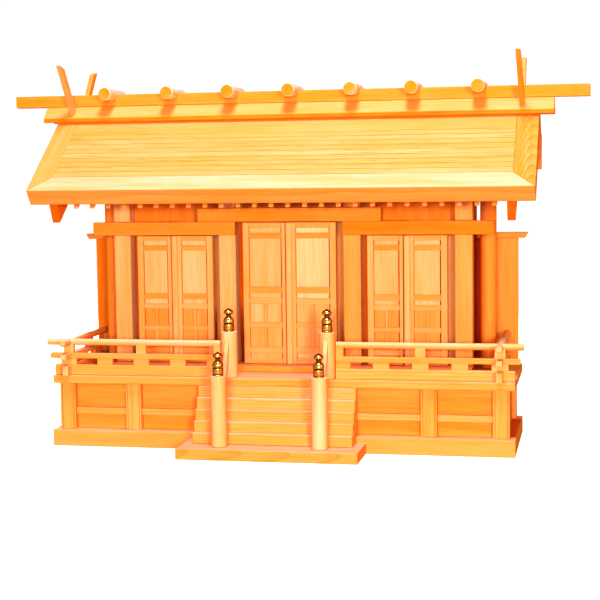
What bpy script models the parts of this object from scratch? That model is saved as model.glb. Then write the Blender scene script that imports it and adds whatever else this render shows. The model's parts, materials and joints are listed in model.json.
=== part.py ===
"""Kamidana: a miniature Shinto house shrine of plain cypress, with three pairs of panelled doors.

Units are metres. X runs along the front, Z is up, and the front faces -Y. Depths below are measured
backwards from the front face of the plinth, and the whole shrine hangs on one empty that puts the
middle of its depth at Y = 0.
"""

import math

import bmesh
import bpy

# Overall

FIT_GAP = 0.0003
EMBED = 0.0005
HALF_LENGTH = 0.400
STAIR_BASE_REACH = 0.0686
ROOF_BACK = 0.2000
SHRINE_MIDDLE_DEPTH = (ROOF_BACK - STAIR_BASE_REACH) / 2

# Plinth, lower storey and deck

PLINTH_HALF_WIDTH = 0.3090
PLINTH_DEPTH = 0.1850
PLINTH_HEIGHT = 0.0215
PLINTH_BOARD = 0.0240

DECK_HALF_WIDTH = 0.3087
DECK_FRONT = 0.0040
DECK_BOTTOM = 0.0845
DECK_TOP = 0.0949

STOREY_POST_WIDTH = 0.0210
STOREY_POST_FRONT = 0.0100
STOREY_CORNER_OUTER = 0.3014
STOREY_MIDDLE_POST_X = 0.1985
STOREY_WALL_FRONT = 0.0180
STOREY_WALL_SIDE = 0.2960
STOREY_BACK = 0.1800
STOREY_WALL_THICKNESS = 0.0080
POST_REBATE_WIDTH = 0.0022
POST_REBATE_DEPTH = 0.0012
TIE_BOTTOM = 0.0417
TIE_TOP = 0.0501
TIE_PROUD = 0.0040

# Stair

STAIR_BASE_HALF_WIDTH = 0.1180
STAIR_BASE_HEIGHT = 0.0138
STAIR_HALF_WIDTH = 0.1052
STEP_COUNT = 5
TOP_STEP_FRONT = 0.0006
STEP_GOING = 0.0082
STAIR_BACK = 0.0095

NEWEL_X = 0.0658
NEWEL_RADIUS = 0.0107
NEWEL_FRONT_DEPTH = -0.0450
NEWEL_UPPER_DEPTH = 0.0140
NEWEL_FRONT_TOP = 0.1056
NEWEL_UPPER_TOP = 0.1560
HANDRAIL_WIDTH = 0.0055
HANDRAIL_HEIGHT = 0.0170
HANDRAIL_TOP = 0.1466
HANDRAIL_SLOPE = math.radians(66)

GIBOSHI_RADIUS = 0.0070
GIBOSHI_HEIGHT = 0.0302

# Veranda railing

RAIL_START_X = NEWEL_X + NEWEL_RADIUS + 0.0007
RAIL_FRONT = 0.0120
BOTTOM_RAIL_HEIGHT = 0.0136
BOTTOM_RAIL_DEPTH = 0.0095
BOTTOM_RAIL_END_X = 0.3081
MIDDLE_RAIL_BOTTOM = 0.1172
MIDDLE_RAIL_TOP = 0.1243
MIDDLE_RAIL_DEPTH = 0.0078
MIDDLE_RAIL_END_X = 0.3148
TOP_RAIL_RADIUS = 0.0043
TOP_RAIL_Z = 0.1392
TOP_RAIL_DEPTH = 0.0160
TOP_RAIL_END_X = 0.3193
SIDE_RAIL_X = 0.2891
SIDE_RAIL_WIDTH = 0.0082
SIDE_BOTTOM_RAIL_FRONT = -0.0030
SIDE_MIDDLE_RAIL_FRONT = -0.0085
SIDE_TOP_RAIL_FRONT = -0.0115
SIDE_RAIL_BACK = 0.1715
BLOCK_SPACING = 0.0509
LOWER_BLOCK_WIDTH = 0.0215
UPPER_BLOCK_WIDTH = 0.0138
BLOCK_DEPTH = 0.0070

# Hall

HALL_FLOOR_FRONT = 0.0650
HALL_FLOOR_TOP = 0.1024
HALL_FLOOR_HALF_WIDTH = 0.2482
POST_SIZE = 0.0230
POST_FRONT = 0.0915
CORNER_POST_X = 0.2365
CENTRE_POST_X = 0.0865
WALL_TOP = 0.3265
FRONT_WALL_DEPTH = POST_FRONT + POST_SIZE + FIT_GAP
FRONT_WALL_THICKNESS = 0.0060
FRONT_WALL_HALF_WIDTH = 0.2465
SIDE_WALL_OUTER = 0.2450
SIDE_WALL_THICKNESS = 0.0055
PARTITION_THICKNESS = 0.0060
BACK_WALL_DEPTH = 0.1788
BACK_WALL_THICKNESS = 0.0060
BACK_WALL_TOP = 0.3775
COLUMN_X = 0.2656
COLUMN_RADIUS = 0.0109
COLUMN_DEPTH = 0.1380

LINTEL_FRONT = 0.0875
LINTEL_DEPTH = 0.0122
SIDE_LINTEL_BOTTOM = 0.2790
SIDE_LINTEL_TOP = 0.2970
SIDE_LINTEL_INNER = 0.0745
SIDE_LINTEL_OUTER = 0.2770
CENTRE_LINTEL_TOP = 0.3156
CENTRE_LINTEL_HALF = 0.1267

# Doors

DOOR_FRONT = 0.0911
DOOR_THICKNESS = 0.0095
DOOR_BOTTOM = 0.1030
CENTRE_DOOR_TOP = 0.2958
SIDE_DOOR_TOP = 0.2777
CENTRE_DOORS_HALF = 0.0645
SIDE_DOORS_INNER = 0.1072
SIDE_DOORS_OUTER = 0.2147
WIDER_LEAF_EXTRA = 0.0100
MEETING_GAP = 0.0010
PIVOT_INSET = 0.0045
OUTER_STILE = 0.0085
INNER_STILE = 0.0050
ASTRAGAL_WIDTH = 0.0085
ASTRAGAL_PROUD = 0.0030
MULLION_WIDTH = 0.0036
PANEL_RECESS = 0.0020
DOORWAY_LAP = 0.0050

# Each row of panels: its lower and upper edge as shares of the leaf's height, and panels side by side.
PANEL_ROWS = (
    (0.041, 0.074, 1),
    (0.118, 0.254, 2),
    (0.291, 0.425, 2),
    (0.466, 0.503, 1),
    (0.545, 0.888, 1),
    (0.927, 0.962, 1),
)

# Wing screens

WING_DEPTH = 0.1720
WING_THICKNESS = 0.0055
WING_OUTER = 0.3037
WING_CAP_BOTTOM = 0.2703
WING_CAP_TOP = 0.2776
WING_CAP_INNER = 0.2472
WING_CAP_OUTER = 0.3172
WING_CAP_BEVEL = 0.0045
WING_CAP_FRONT = 0.1662
WING_CAP_BACK = 0.1835

# Roof

EAVE_HALF_WIDTH = 0.3343
EAVE_DEPTH = -0.0098
EAVE_Z = 0.3436
ROOF_SLOPE = math.atan(0.747)
ROOF_THICKNESS = 0.0240
RIDGE_DEPTH = 0.1310
FIELD_HALF_WIDTH = 0.3055
FIELD_START = 0.0295
FIELD_BOARD_COUNT = 9
FIELD_BOARD_WIDTH = 0.0104
GROOVE_WIDTH = 0.0008
GROOVE_DEPTH = 0.0006
REAR_BOARD_FRONT = 0.1900
REAR_BOARD_BOTTOM = 0.3630
REAR_BOARD_TOP = 0.4110
BARGE_OUTER = 0.3087
BARGE_THICKNESS = 0.0103
BARGE_FRONT_TOP = 0.0064
BARGE_FRONT_DEPTH = 0.0185
BARGE_FRONT_BOTTOM = 0.2998
GABLE_BOARD_INNER = 0.2886

CEILING_FRONT = 0.0880
CEILING_BOTTOM = WALL_TOP + FIT_GAP
CEILING_TOP = 0.3328
CEILING_HALF_WIDTH = 0.2883
WALL_PLATE_DEPTH = 0.0120
GABLE_BOARD_FRONT = 0.0400
RAFTER_COUNT = 26
RAFTER_SPACING = 0.0225
RAFTER_WIDTH = 0.0062
RAFTER_HEIGHT = 0.0080
RAFTER_TIP_DEPTH = 0.0345
RAFTER_TIP_BOTTOM = 0.3180
EAVE_BOARD_SET_BACK = 0.0015

CAP_HALF_WIDTH = 0.3536
CAP_HALF_DEPTH = 0.0230
CAP_EDGE_BOTTOM = 0.4364
CAP_EDGE_TOP = 0.4423
CAP_FLAT_HALF = 0.0075
CAP_TOP = 0.4583

RIDGE_BEAM_SIZE = 0.0160
RIDGE_LOG_COUNT = 7
RIDGE_LOG_SPACING = 0.0855
RIDGE_LOG_RADIUS = 0.0091

# Each log sits this far from its even place along the beam, from left to right.
RIDGE_LOG_STRAY = (-0.0030, 0.0003, 0.0010, -0.0003, -0.0010, -0.0045, -0.0018)
RIDGE_LOG_LENGTH = 0.0670

CHIGI_THICKNESS = 0.0063
CHIGI_FOOT_LOW = 0.0195
CHIGI_FOOT_HIGH = 0.0122
CHIGI_TIP_REACH = 0.0670
CHIGI_TIP_Z = 0.5125
CHIGI_TIP_BACK_Z = 0.5085

# Each finial's place: which slope, side, distance from the middle, then how its tip strays along X and up.
CHIGI_PLACES = (
    ("front_left", 1.0, -0.3120, -0.0008, 0.0),
    ("front_right", 1.0, 0.3120, -0.0030, 0.0050),
    ("rear_left", -1.0, -0.3080, 0.0004, -0.0018),
    ("rear_right", -1.0, 0.3108, 0.0, 0.0036),
)

ROUND_SEGMENTS = 24

CYPRESS_COLOUR = (0.80, 0.42, 0.11, 1.0)
PALE_CYPRESS_COLOUR = (0.88, 0.58, 0.24, 1.0)
BRASS_COLOUR = (0.75, 0.50, 0.15, 1.0)


def clear_scene():
    for old in list(bpy.data.objects):
        bpy.data.objects.remove(old, do_unlink=True)


def make_material(name, colour, roughness, metallic=0.0):
    material = bpy.data.materials.new(name)
    material.use_nodes = True
    shader = material.node_tree.nodes["Principled BSDF"]
    shader.inputs["Base Color"].default_value = colour
    shader.inputs["Roughness"].default_value = roughness
    shader.inputs["Metallic"].default_value = metallic
    material.diffuse_color = colour
    return material


def cypress(name):
    return make_material(name + "_cypress", CYPRESS_COLOUR, 0.55)


def pale_cypress(name):
    return make_material(name + "_pale_cypress", PALE_CYPRESS_COLOUR, 0.50)


def brass(name):
    return make_material(name + "_brass", BRASS_COLOUR, 0.28, metallic=1.0)


def add_object(name, form, location=(0.0, 0.0, 0.0), smooth=False):
    """Turn a bmesh into an object that hangs on the shrine's empty."""
    bmesh.ops.recalc_face_normals(form, faces=form.faces)
    mesh = bpy.data.meshes.new(name)
    form.to_mesh(mesh)
    form.free()
    if smooth:
        mesh.shade_smooth()
        mesh.set_sharp_from_angle(angle=math.radians(35))
    piece = bpy.data.objects.new(name, mesh)
    bpy.context.scene.collection.objects.link(piece)
    piece.parent = bpy.data.objects["shrine"]
    piece.location = location
    return piece


def prism(outline, axis, low, high):
    """Extrude a closed outline along X, Y or Z. The outline lies in the other two axes, in order."""
    form = bmesh.new()
    step = [0.0, 0.0, 0.0]
    step["XYZ".index(axis)] = high - low
    ring = []
    for first, second in outline:
        point = [first, second]
        point.insert("XYZ".index(axis), low)
        ring.append(form.verts.new(point))
    face = form.faces.new(ring)
    swept = bmesh.ops.extrude_face_region(form, geom=[face])
    moved = [item for item in swept["geom"] if isinstance(item, bmesh.types.BMVert)]
    bmesh.ops.translate(form, verts=moved, vec=step)
    return form


def block(x_range, y_range, z_range):
    x_low, x_high = sorted(x_range)
    outline = ((x_low, y_range[0]), (x_high, y_range[0]), (x_high, y_range[1]), (x_low, y_range[1]))
    return prism(outline, "Z", z_range[0], z_range[1])


def turned(profile, segments=ROUND_SEGMENTS):
    """Spin a profile of (radius, height) points, which starts and ends on the Z axis."""
    form = bmesh.new()
    line = [form.verts.new((radius, 0.0, height)) for radius, height in profile]
    for start, end in zip(line, line[1:]):
        form.edges.new((start, end))
    bmesh.ops.spin(
        form,
        geom=list(form.verts) + list(form.edges),
        axis=(0.0, 0.0, 1.0),
        cent=(0.0, 0.0, 0.0),
        steps=segments,
        angle=math.tau,
        use_merge=True,
    )
    bmesh.ops.remove_doubles(form, verts=form.verts, dist=0.00002)
    return form


def round_bar(radius, axis, low, high, centre, segments=16):
    """A bar of round section along X or Y, whose centre line passes through the other two values."""
    outline = []
    for number in range(segments):
        angle = math.tau * (number + 0.5) / segments
        outline.append((centre[0] + radius * math.cos(angle), centre[1] + radius * math.sin(angle)))
    return prism(outline, axis, low, high)


def solid_block(name, x_range, y_range, z_range, material):
    """A plain board or post, whose origin is its own middle."""
    middle = [(low + high) / 2 for low, high in (sorted(x_range), y_range, z_range)]
    half = [abs(high - low) / 2 for low, high in (x_range, y_range, z_range)]
    form = block((-half[0], half[0]), (-half[1], half[1]), (-half[2], half[2]))
    piece = add_object(name, form, middle)
    piece.data.materials.append(material)
    return piece


def helper_collection(piece, forms, kind):
    """Hidden guide solids that a Boolean joins to a piece or cuts from it."""
    group = bpy.data.collections.new(piece.name + "_" + kind)
    bpy.context.scene.collection.children.link(group)
    for number, form in enumerate(forms, start=1):
        guide = add_object("{}_{}_{}".format(piece.name, kind, number), form, piece.location)
        guide.hide_render = True
        guide.display_type = "WIRE"
        bpy.context.scene.collection.objects.unlink(guide)
        group.objects.link(guide)
    return group


def combine(piece, forms, operation):
    kind = "joined" if operation == "UNION" else "cut"
    change = piece.modifiers.new(kind, "BOOLEAN")
    change.operation = operation
    change.solver = "EXACT"
    change.operand_type = "COLLECTION"
    change.collection = helper_collection(piece, forms, kind)


def sides():
    """The left and right side, with the sign of X."""
    return (("left", -1.0), ("right", 1.0))


def mirrored(outline, sign):
    return [(sign * first, second) for first, second in outline]


def build_plinth():
    outline = (
        (-PLINTH_HALF_WIDTH, 0.0),
        (PLINTH_HALF_WIDTH, 0.0),
        (PLINTH_HALF_WIDTH, PLINTH_DEPTH),
        (-PLINTH_HALF_WIDTH, PLINTH_DEPTH),
    )
    plinth = add_object("plinth", prism(outline, "Z", 0.0, PLINTH_HEIGHT))
    plinth.data.materials.append(cypress("plinth"))
    inner_half = PLINTH_HALF_WIDTH - PLINTH_BOARD
    opening = block(
        (-inner_half, inner_half),
        (PLINTH_BOARD, PLINTH_DEPTH - PLINTH_BOARD),
        (-0.01, PLINTH_HEIGHT + 0.01),
    )
    combine(plinth, [opening], "DIFFERENCE")


def rebated_post(x_low, x_high, wall_depth):
    """Outline of a front post that stands out of the wall, with a small rebate on both edges."""
    return [
        (x_low, wall_depth),
        (x_low, STOREY_POST_FRONT + POST_REBATE_DEPTH),
        (x_low + POST_REBATE_WIDTH, STOREY_POST_FRONT + POST_REBATE_DEPTH),
        (x_low + POST_REBATE_WIDTH, STOREY_POST_FRONT),
        (x_high - POST_REBATE_WIDTH, STOREY_POST_FRONT),
        (x_high - POST_REBATE_WIDTH, STOREY_POST_FRONT + POST_REBATE_DEPTH),
        (x_high, STOREY_POST_FRONT + POST_REBATE_DEPTH),
        (x_high, wall_depth),
    ]


def storey_half_outline():
    """Right half of the lower storey's outer plan, from the middle of the front to the back."""
    half_post = STOREY_POST_WIDTH / 2
    middle = rebated_post(STOREY_MIDDLE_POST_X - half_post, STOREY_MIDDLE_POST_X + half_post, STOREY_WALL_FRONT)
    corner_inner = STOREY_CORNER_OUTER - STOREY_POST_WIDTH
    corner = rebated_post(corner_inner, STOREY_CORNER_OUTER, STOREY_POST_FRONT + STOREY_POST_WIDTH)
    corner[0] = (corner_inner, STOREY_WALL_FRONT)
    rear_post_front = STOREY_BACK - STOREY_POST_WIDTH
    rear = [
        (STOREY_WALL_SIDE, STOREY_POST_FRONT + STOREY_POST_WIDTH),
        (STOREY_WALL_SIDE, rear_post_front),
        (STOREY_CORNER_OUTER, rear_post_front),
        (STOREY_CORNER_OUTER, STOREY_BACK),
    ]
    return middle + corner + rear


def build_lower_storey():
    bottom = PLINTH_HEIGHT + FIT_GAP
    top = DECK_BOTTOM - FIT_GAP
    right_half = storey_half_outline()
    outline = right_half + [(-x, y) for x, y in reversed(right_half)]
    storey = add_object("lower_storey", prism(outline, "Z", bottom, top))
    storey.data.materials.append(cypress("lower_storey"))

    ties = []
    middle_inner = STOREY_MIDDLE_POST_X - STOREY_POST_WIDTH / 2
    middle_outer = STOREY_MIDDLE_POST_X + STOREY_POST_WIDTH / 2
    corner_inner = STOREY_CORNER_OUTER - STOREY_POST_WIDTH
    front_depths = (STOREY_WALL_FRONT - TIE_PROUD, STOREY_WALL_FRONT + EMBED)
    spans = (
        (-corner_inner - EMBED, -middle_outer + EMBED),
        (-middle_inner - EMBED, middle_inner + EMBED),
        (middle_outer - EMBED, corner_inner + EMBED),
    )
    for span in spans:
        ties.append(block(span, front_depths, (TIE_BOTTOM, TIE_TOP)))
    side_depths = (
        STOREY_POST_FRONT + STOREY_POST_WIDTH - EMBED,
        STOREY_BACK - STOREY_POST_WIDTH + EMBED,
    )
    for _, sign in sides():
        span = (sign * (STOREY_WALL_SIDE - EMBED), sign * (STOREY_WALL_SIDE + TIE_PROUD))
        ties.append(block(span, side_depths, (TIE_BOTTOM, TIE_TOP)))
    combine(storey, ties, "UNION")

    inner_half = STOREY_WALL_SIDE - STOREY_WALL_THICKNESS
    room = block(
        (-inner_half, inner_half),
        (STOREY_WALL_FRONT + STOREY_WALL_THICKNESS, STOREY_BACK - STOREY_WALL_THICKNESS),
        (bottom - 0.01, top + 0.01),
    )
    combine(storey, [room], "DIFFERENCE")


def build_deck():
    solid_block(
        "deck",
        (-DECK_HALF_WIDTH, DECK_HALF_WIDTH),
        (DECK_FRONT, PLINTH_DEPTH),
        (DECK_BOTTOM, DECK_TOP),
        cypress("deck"),
    )


def build_stair():
    solid_block(
        "stair_base",
        (-STAIR_BASE_HALF_WIDTH, STAIR_BASE_HALF_WIDTH),
        (-STAIR_BASE_REACH, -FIT_GAP),
        (0.0, STAIR_BASE_HEIGHT),
        cypress("stair_base"),
    )
    bottom = STAIR_BASE_HEIGHT + FIT_GAP
    top = DECK_BOTTOM - FIT_GAP
    rise = (top - bottom) / STEP_COUNT
    outline = [(STAIR_BACK, top)]
    for number in range(STEP_COUNT):
        front = TOP_STEP_FRONT - number * STEP_GOING
        outline.append((front, top - number * rise))
        outline.append((front, top - (number + 1) * rise))
    outline.append((-FIT_GAP, bottom))
    outline.append((-FIT_GAP, PLINTH_HEIGHT + FIT_GAP))
    outline.append((STAIR_BACK, PLINTH_HEIGHT + FIT_GAP))
    stair = add_object("stair", prism(outline, "X", -STAIR_HALF_WIDTH, STAIR_HALF_WIDTH))
    stair.data.materials.append(cypress("stair"))


def newel_places():
    """Name, side sign, depth, bottom and top of the four newel posts."""
    for side, sign in sides():
        front_bottom = STAIR_BASE_HEIGHT + FIT_GAP
        upper_bottom = DECK_TOP + FIT_GAP
        yield "front_" + side, sign, NEWEL_FRONT_DEPTH, front_bottom, NEWEL_FRONT_TOP
        yield "upper_" + side, sign, NEWEL_UPPER_DEPTH, upper_bottom, NEWEL_UPPER_TOP


def giboshi_profile():
    """Radius and height of the onion-shaped cap: a ringed sleeve, a bell shoulder, a neck and a bud."""
    radius = GIBOSHI_RADIUS
    height = GIBOSHI_HEIGHT
    shares = (
        (0.00, 0.00),
        (0.97, 0.00),
        (1.00, 0.03),
        (1.00, 0.31),
        (0.86, 0.34),
        (1.00, 0.38),
        (0.99, 0.45),
        (0.90, 0.53),
        (0.64, 0.60),
        (0.37, 0.65),
        (0.33, 0.70),
        (0.55, 0.745),
        (0.86, 0.80),
        (0.90, 0.845),
        (0.72, 0.905),
        (0.36, 0.955),
        (0.12, 0.99),
        (0.00, 1.00),
    )
    return [(share_r * radius, share_h * height) for share_r, share_h in shares]


def build_newels():
    for place, sign, depth, bottom, top in newel_places():
        height = top - bottom
        newel_profile = (
            (0.0, 0.0),
            (NEWEL_RADIUS, 0.0),
            (NEWEL_RADIUS, height - 0.0008),
            (NEWEL_RADIUS - 0.0008, height),
            (0.0, height),
        )
        location = (sign * NEWEL_X, depth, bottom)
        newel = add_object("newel_" + place, turned(newel_profile), location, smooth=True)
        newel.data.materials.append(pale_cypress("newel_" + place))
        cap_location = (sign * NEWEL_X, depth, top + FIT_GAP)
        giboshi = add_object("giboshi_" + place, turned(giboshi_profile(), 20), cap_location, smooth=True)
        giboshi.data.materials.append(brass("giboshi_" + place))


def build_handrails():
    upper = NEWEL_UPPER_DEPTH - NEWEL_RADIUS - FIT_GAP
    lower = NEWEL_FRONT_DEPTH + NEWEL_RADIUS + FIT_GAP
    drop = (upper - lower) * math.tan(HANDRAIL_SLOPE)
    outline = (
        (upper, HANDRAIL_TOP),
        (upper, HANDRAIL_TOP - HANDRAIL_HEIGHT),
        (lower, HANDRAIL_TOP - HANDRAIL_HEIGHT - drop),
        (lower, HANDRAIL_TOP - drop),
    )
    for side, sign in sides():
        low = sign * NEWEL_X - HANDRAIL_WIDTH / 2
        rail = add_object("handrail_" + side, prism(outline, "X", low, low + HANDRAIL_WIDTH))
        rail.data.materials.append(pale_cypress("handrail_" + side))


def railing_members(sign):
    """The rails and blocks of one side, apart from the front bottom rail, which carries them."""
    bottom = DECK_TOP + FIT_GAP
    bottom_rail_top = bottom + BOTTOM_RAIL_HEIGHT
    start = sign * RAIL_START_X
    side_span = (sign * (SIDE_RAIL_X - SIDE_RAIL_WIDTH / 2), sign * (SIDE_RAIL_X + SIDE_RAIL_WIDTH / 2))
    members = [
        block(
            (start, sign * MIDDLE_RAIL_END_X),
            (RAIL_FRONT, RAIL_FRONT + MIDDLE_RAIL_DEPTH),
            (MIDDLE_RAIL_BOTTOM, MIDDLE_RAIL_TOP),
        ),
        round_bar(
            TOP_RAIL_RADIUS,
            "X",
            min(start, sign * TOP_RAIL_END_X),
            max(start, sign * TOP_RAIL_END_X),
            (TOP_RAIL_DEPTH, TOP_RAIL_Z),
        ),
        block(side_span, (SIDE_BOTTOM_RAIL_FRONT, SIDE_RAIL_BACK), (bottom, bottom_rail_top - 0.0002)),
        block(
            side_span,
            (SIDE_MIDDLE_RAIL_FRONT, SIDE_RAIL_BACK),
            (MIDDLE_RAIL_BOTTOM + 0.0002, MIDDLE_RAIL_TOP - 0.0002),
        ),
        round_bar(
            TOP_RAIL_RADIUS,
            "Y",
            SIDE_TOP_RAIL_FRONT,
            SIDE_RAIL_BACK,
            (sign * SIDE_RAIL_X, TOP_RAIL_Z),
        ),
    ]
    lower_heights = (bottom_rail_top - EMBED, MIDDLE_RAIL_BOTTOM + EMBED)
    upper_heights = (MIDDLE_RAIL_TOP - EMBED, TOP_RAIL_Z)
    block_depths = (RAIL_FRONT + 0.0003, RAIL_FRONT + BLOCK_DEPTH)
    for number in range(4):
        middle = SIDE_RAIL_X - number * BLOCK_SPACING
        span = (sign * (middle - LOWER_BLOCK_WIDTH / 2), sign * (middle + LOWER_BLOCK_WIDTH / 2))
        members.append(block(span, block_depths, lower_heights))
    members.append(block((start, sign * 0.0965), block_depths, lower_heights))
    for middle in (SIDE_RAIL_X, SIDE_RAIL_X - 2 * BLOCK_SPACING):
        span = (sign * (middle - UPPER_BLOCK_WIDTH / 2), sign * (middle + UPPER_BLOCK_WIDTH / 2))
        members.append(block(span, block_depths, upper_heights))
    members.append(block((start, sign * 0.0870), block_depths, upper_heights))

    side_block_span = [edge - sign * 0.0003 for edge in side_span]
    for number in range(1, 4):
        middle = TOP_RAIL_DEPTH + number * BLOCK_SPACING
        back = min(middle + LOWER_BLOCK_WIDTH / 2, SIDE_RAIL_BACK)
        members.append(block(side_block_span, (middle - LOWER_BLOCK_WIDTH / 2, back), lower_heights))
    for middle in (TOP_RAIL_DEPTH + 1.5 * BLOCK_SPACING,):
        depths = (middle - UPPER_BLOCK_WIDTH / 2, middle + UPPER_BLOCK_WIDTH / 2)
        members.append(block(side_block_span, depths, upper_heights))
    members.append(block(side_block_span, (SIDE_RAIL_BACK - 0.0095, SIDE_RAIL_BACK), upper_heights))
    return members


def build_railings():
    bottom = DECK_TOP + FIT_GAP
    for side, sign in sides():
        form = block(
            (sign * RAIL_START_X, sign * BOTTOM_RAIL_END_X),
            (RAIL_FRONT - 0.0008, RAIL_FRONT - 0.0008 + BOTTOM_RAIL_DEPTH),
            (bottom, bottom + BOTTOM_RAIL_HEIGHT),
        )
        railing = add_object("railing_" + side, form)
        railing.data.materials.append(cypress("railing_" + side))
        combine(railing, railing_members(sign), "UNION")


def build_hall_floor():
    solid_block(
        "hall_floor",
        (-HALL_FLOOR_HALF_WIDTH, HALL_FLOOR_HALF_WIDTH),
        (HALL_FLOOR_FRONT, PLINTH_DEPTH),
        (DECK_TOP + FIT_GAP, HALL_FLOOR_TOP),
        cypress("hall_floor"),
    )


def build_posts():
    """Square front posts, notched at the front for the lintels that cross them."""
    bottom = HALL_FLOOR_TOP + FIT_GAP
    back = POST_FRONT + POST_SIZE
    notch_back = LINTEL_FRONT + LINTEL_DEPTH + FIT_GAP
    notch_bottom = SIDE_LINTEL_BOTTOM - FIT_GAP
    for name, middle, notch_top in (
        ("corner", CORNER_POST_X, SIDE_LINTEL_TOP + FIT_GAP),
        ("centre", CENTRE_POST_X, CENTRE_LINTEL_TOP + FIT_GAP),
    ):
        outline = (
            (POST_FRONT, bottom),
            (back, bottom),
            (back, WALL_TOP),
            (POST_FRONT, WALL_TOP),
            (POST_FRONT, notch_top),
            (notch_back, notch_top),
            (notch_back, notch_bottom),
            (POST_FRONT, notch_bottom),
        )
        for side, sign in sides():
            low = sign * middle - POST_SIZE / 2
            post = add_object("post_{}_{}".format(name, side), prism(outline, "X", low, low + POST_SIZE))
            post.data.materials.append(pale_cypress(post.name))


def build_columns():
    bottom = DECK_TOP + FIT_GAP
    profile = (
        (0.0, 0.0),
        (COLUMN_RADIUS, 0.0),
        (COLUMN_RADIUS, WALL_TOP - bottom),
        (0.0, WALL_TOP - bottom),
    )
    for side, sign in sides():
        location = (sign * COLUMN_X, COLUMN_DEPTH, bottom)
        column = add_object("column_" + side, turned(profile), location, smooth=True)
        column.data.materials.append(cypress(column.name))


def build_front_wall():
    """The wall board behind the posts, with a doorway a little narrower than each pair of doors."""
    wall = solid_block(
        "front_wall",
        (-FRONT_WALL_HALF_WIDTH, FRONT_WALL_HALF_WIDTH),
        (FRONT_WALL_DEPTH, FRONT_WALL_DEPTH + FRONT_WALL_THICKNESS),
        (HALL_FLOOR_TOP + FIT_GAP, WALL_TOP),
        cypress("front_wall"),
    )
    middle_z = wall.location[2]
    through = (-FRONT_WALL_THICKNESS, FRONT_WALL_THICKNESS)
    below = HALL_FLOOR_TOP - 0.01 - middle_z
    side_low = SIDE_DOORS_INNER + DOORWAY_LAP
    side_high = SIDE_DOORS_OUTER - DOORWAY_LAP
    centre_half = CENTRE_DOORS_HALF - DOORWAY_LAP
    doorways = (
        ((-side_high, -side_low), SIDE_DOOR_TOP),
        ((-centre_half, centre_half), CENTRE_DOOR_TOP),
        ((side_low, side_high), SIDE_DOOR_TOP),
    )
    cutters = [block(span, through, (below, top - DOORWAY_LAP - middle_z)) for span, top in doorways]
    combine(wall, cutters, "DIFFERENCE")


def build_inner_walls():
    front = FRONT_WALL_DEPTH + FRONT_WALL_THICKNESS + FIT_GAP
    depths = (front, BACK_WALL_DEPTH - FIT_GAP)
    heights = (HALL_FLOOR_TOP + FIT_GAP, WALL_TOP)
    for side, sign in sides():
        outer = sign * SIDE_WALL_OUTER
        inner = sign * (SIDE_WALL_OUTER - SIDE_WALL_THICKNESS)
        solid_block("side_wall_" + side, (outer, inner), depths, heights, cypress("side_wall_" + side))
        middle = sign * CENTRE_POST_X
        span = (middle - PARTITION_THICKNESS / 2, middle + PARTITION_THICKNESS / 2)
        solid_block("partition_" + side, span, depths, heights, cypress("partition_" + side))


def build_back_wall():
    """A board that closes the hall, and above the ceiling widens to close the loft."""
    bottom = HALL_FLOOR_TOP + FIT_GAP
    shoulder = CEILING_TOP + FIT_GAP
    right_half = [
        (FRONT_WALL_HALF_WIDTH, bottom),
        (FRONT_WALL_HALF_WIDTH, shoulder),
        (CEILING_HALF_WIDTH, shoulder),
        (CEILING_HALF_WIDTH, BACK_WALL_TOP),
    ]
    outline = right_half + [(-x, z) for x, z in reversed(right_half)]
    form = prism(outline, "Y", BACK_WALL_DEPTH, BACK_WALL_DEPTH + BACK_WALL_THICKNESS)
    wall = add_object("back_wall", form)
    wall.data.materials.append(cypress("back_wall"))


def build_lintels():
    depths = (LINTEL_FRONT, LINTEL_FRONT + LINTEL_DEPTH)
    for side, sign in sides():
        solid_block(
            "lintel_" + side,
            (sign * SIDE_LINTEL_INNER, sign * SIDE_LINTEL_OUTER),
            depths,
            (SIDE_LINTEL_BOTTOM, SIDE_LINTEL_TOP),
            cypress("lintel_" + side),
        )
    solid_block(
        "lintel_centre",
        (-CENTRE_LINTEL_HALF, CENTRE_LINTEL_HALF),
        depths,
        (SIDE_LINTEL_TOP + FIT_GAP, CENTRE_LINTEL_TOP),
        cypress("lintel_centre"),
    )


def astragal_outline(inner, sign, front):
    """The rounded moulding on the meeting stile of the wider leaf, from its free edge inwards."""
    points = []
    corner = 0.0022
    steps = 4
    for number in range(steps + 1):
        angle = math.pi / 2 * number / steps
        x = inner + sign * corner * (1 - math.cos(angle))
        points.append((x, front - ASTRAGAL_PROUD + corner * (1 - math.sin(angle))))
    for number in range(steps + 1):
        angle = math.pi / 2 * (1 - number / steps)
        x = inner + sign * (ASTRAGAL_WIDTH - corner * (1 - math.cos(angle)))
        points.append((x, front - ASTRAGAL_PROUD + corner * (1 - math.sin(angle))))
    points.append((inner + sign * ASTRAGAL_WIDTH, front))
    return points


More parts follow.
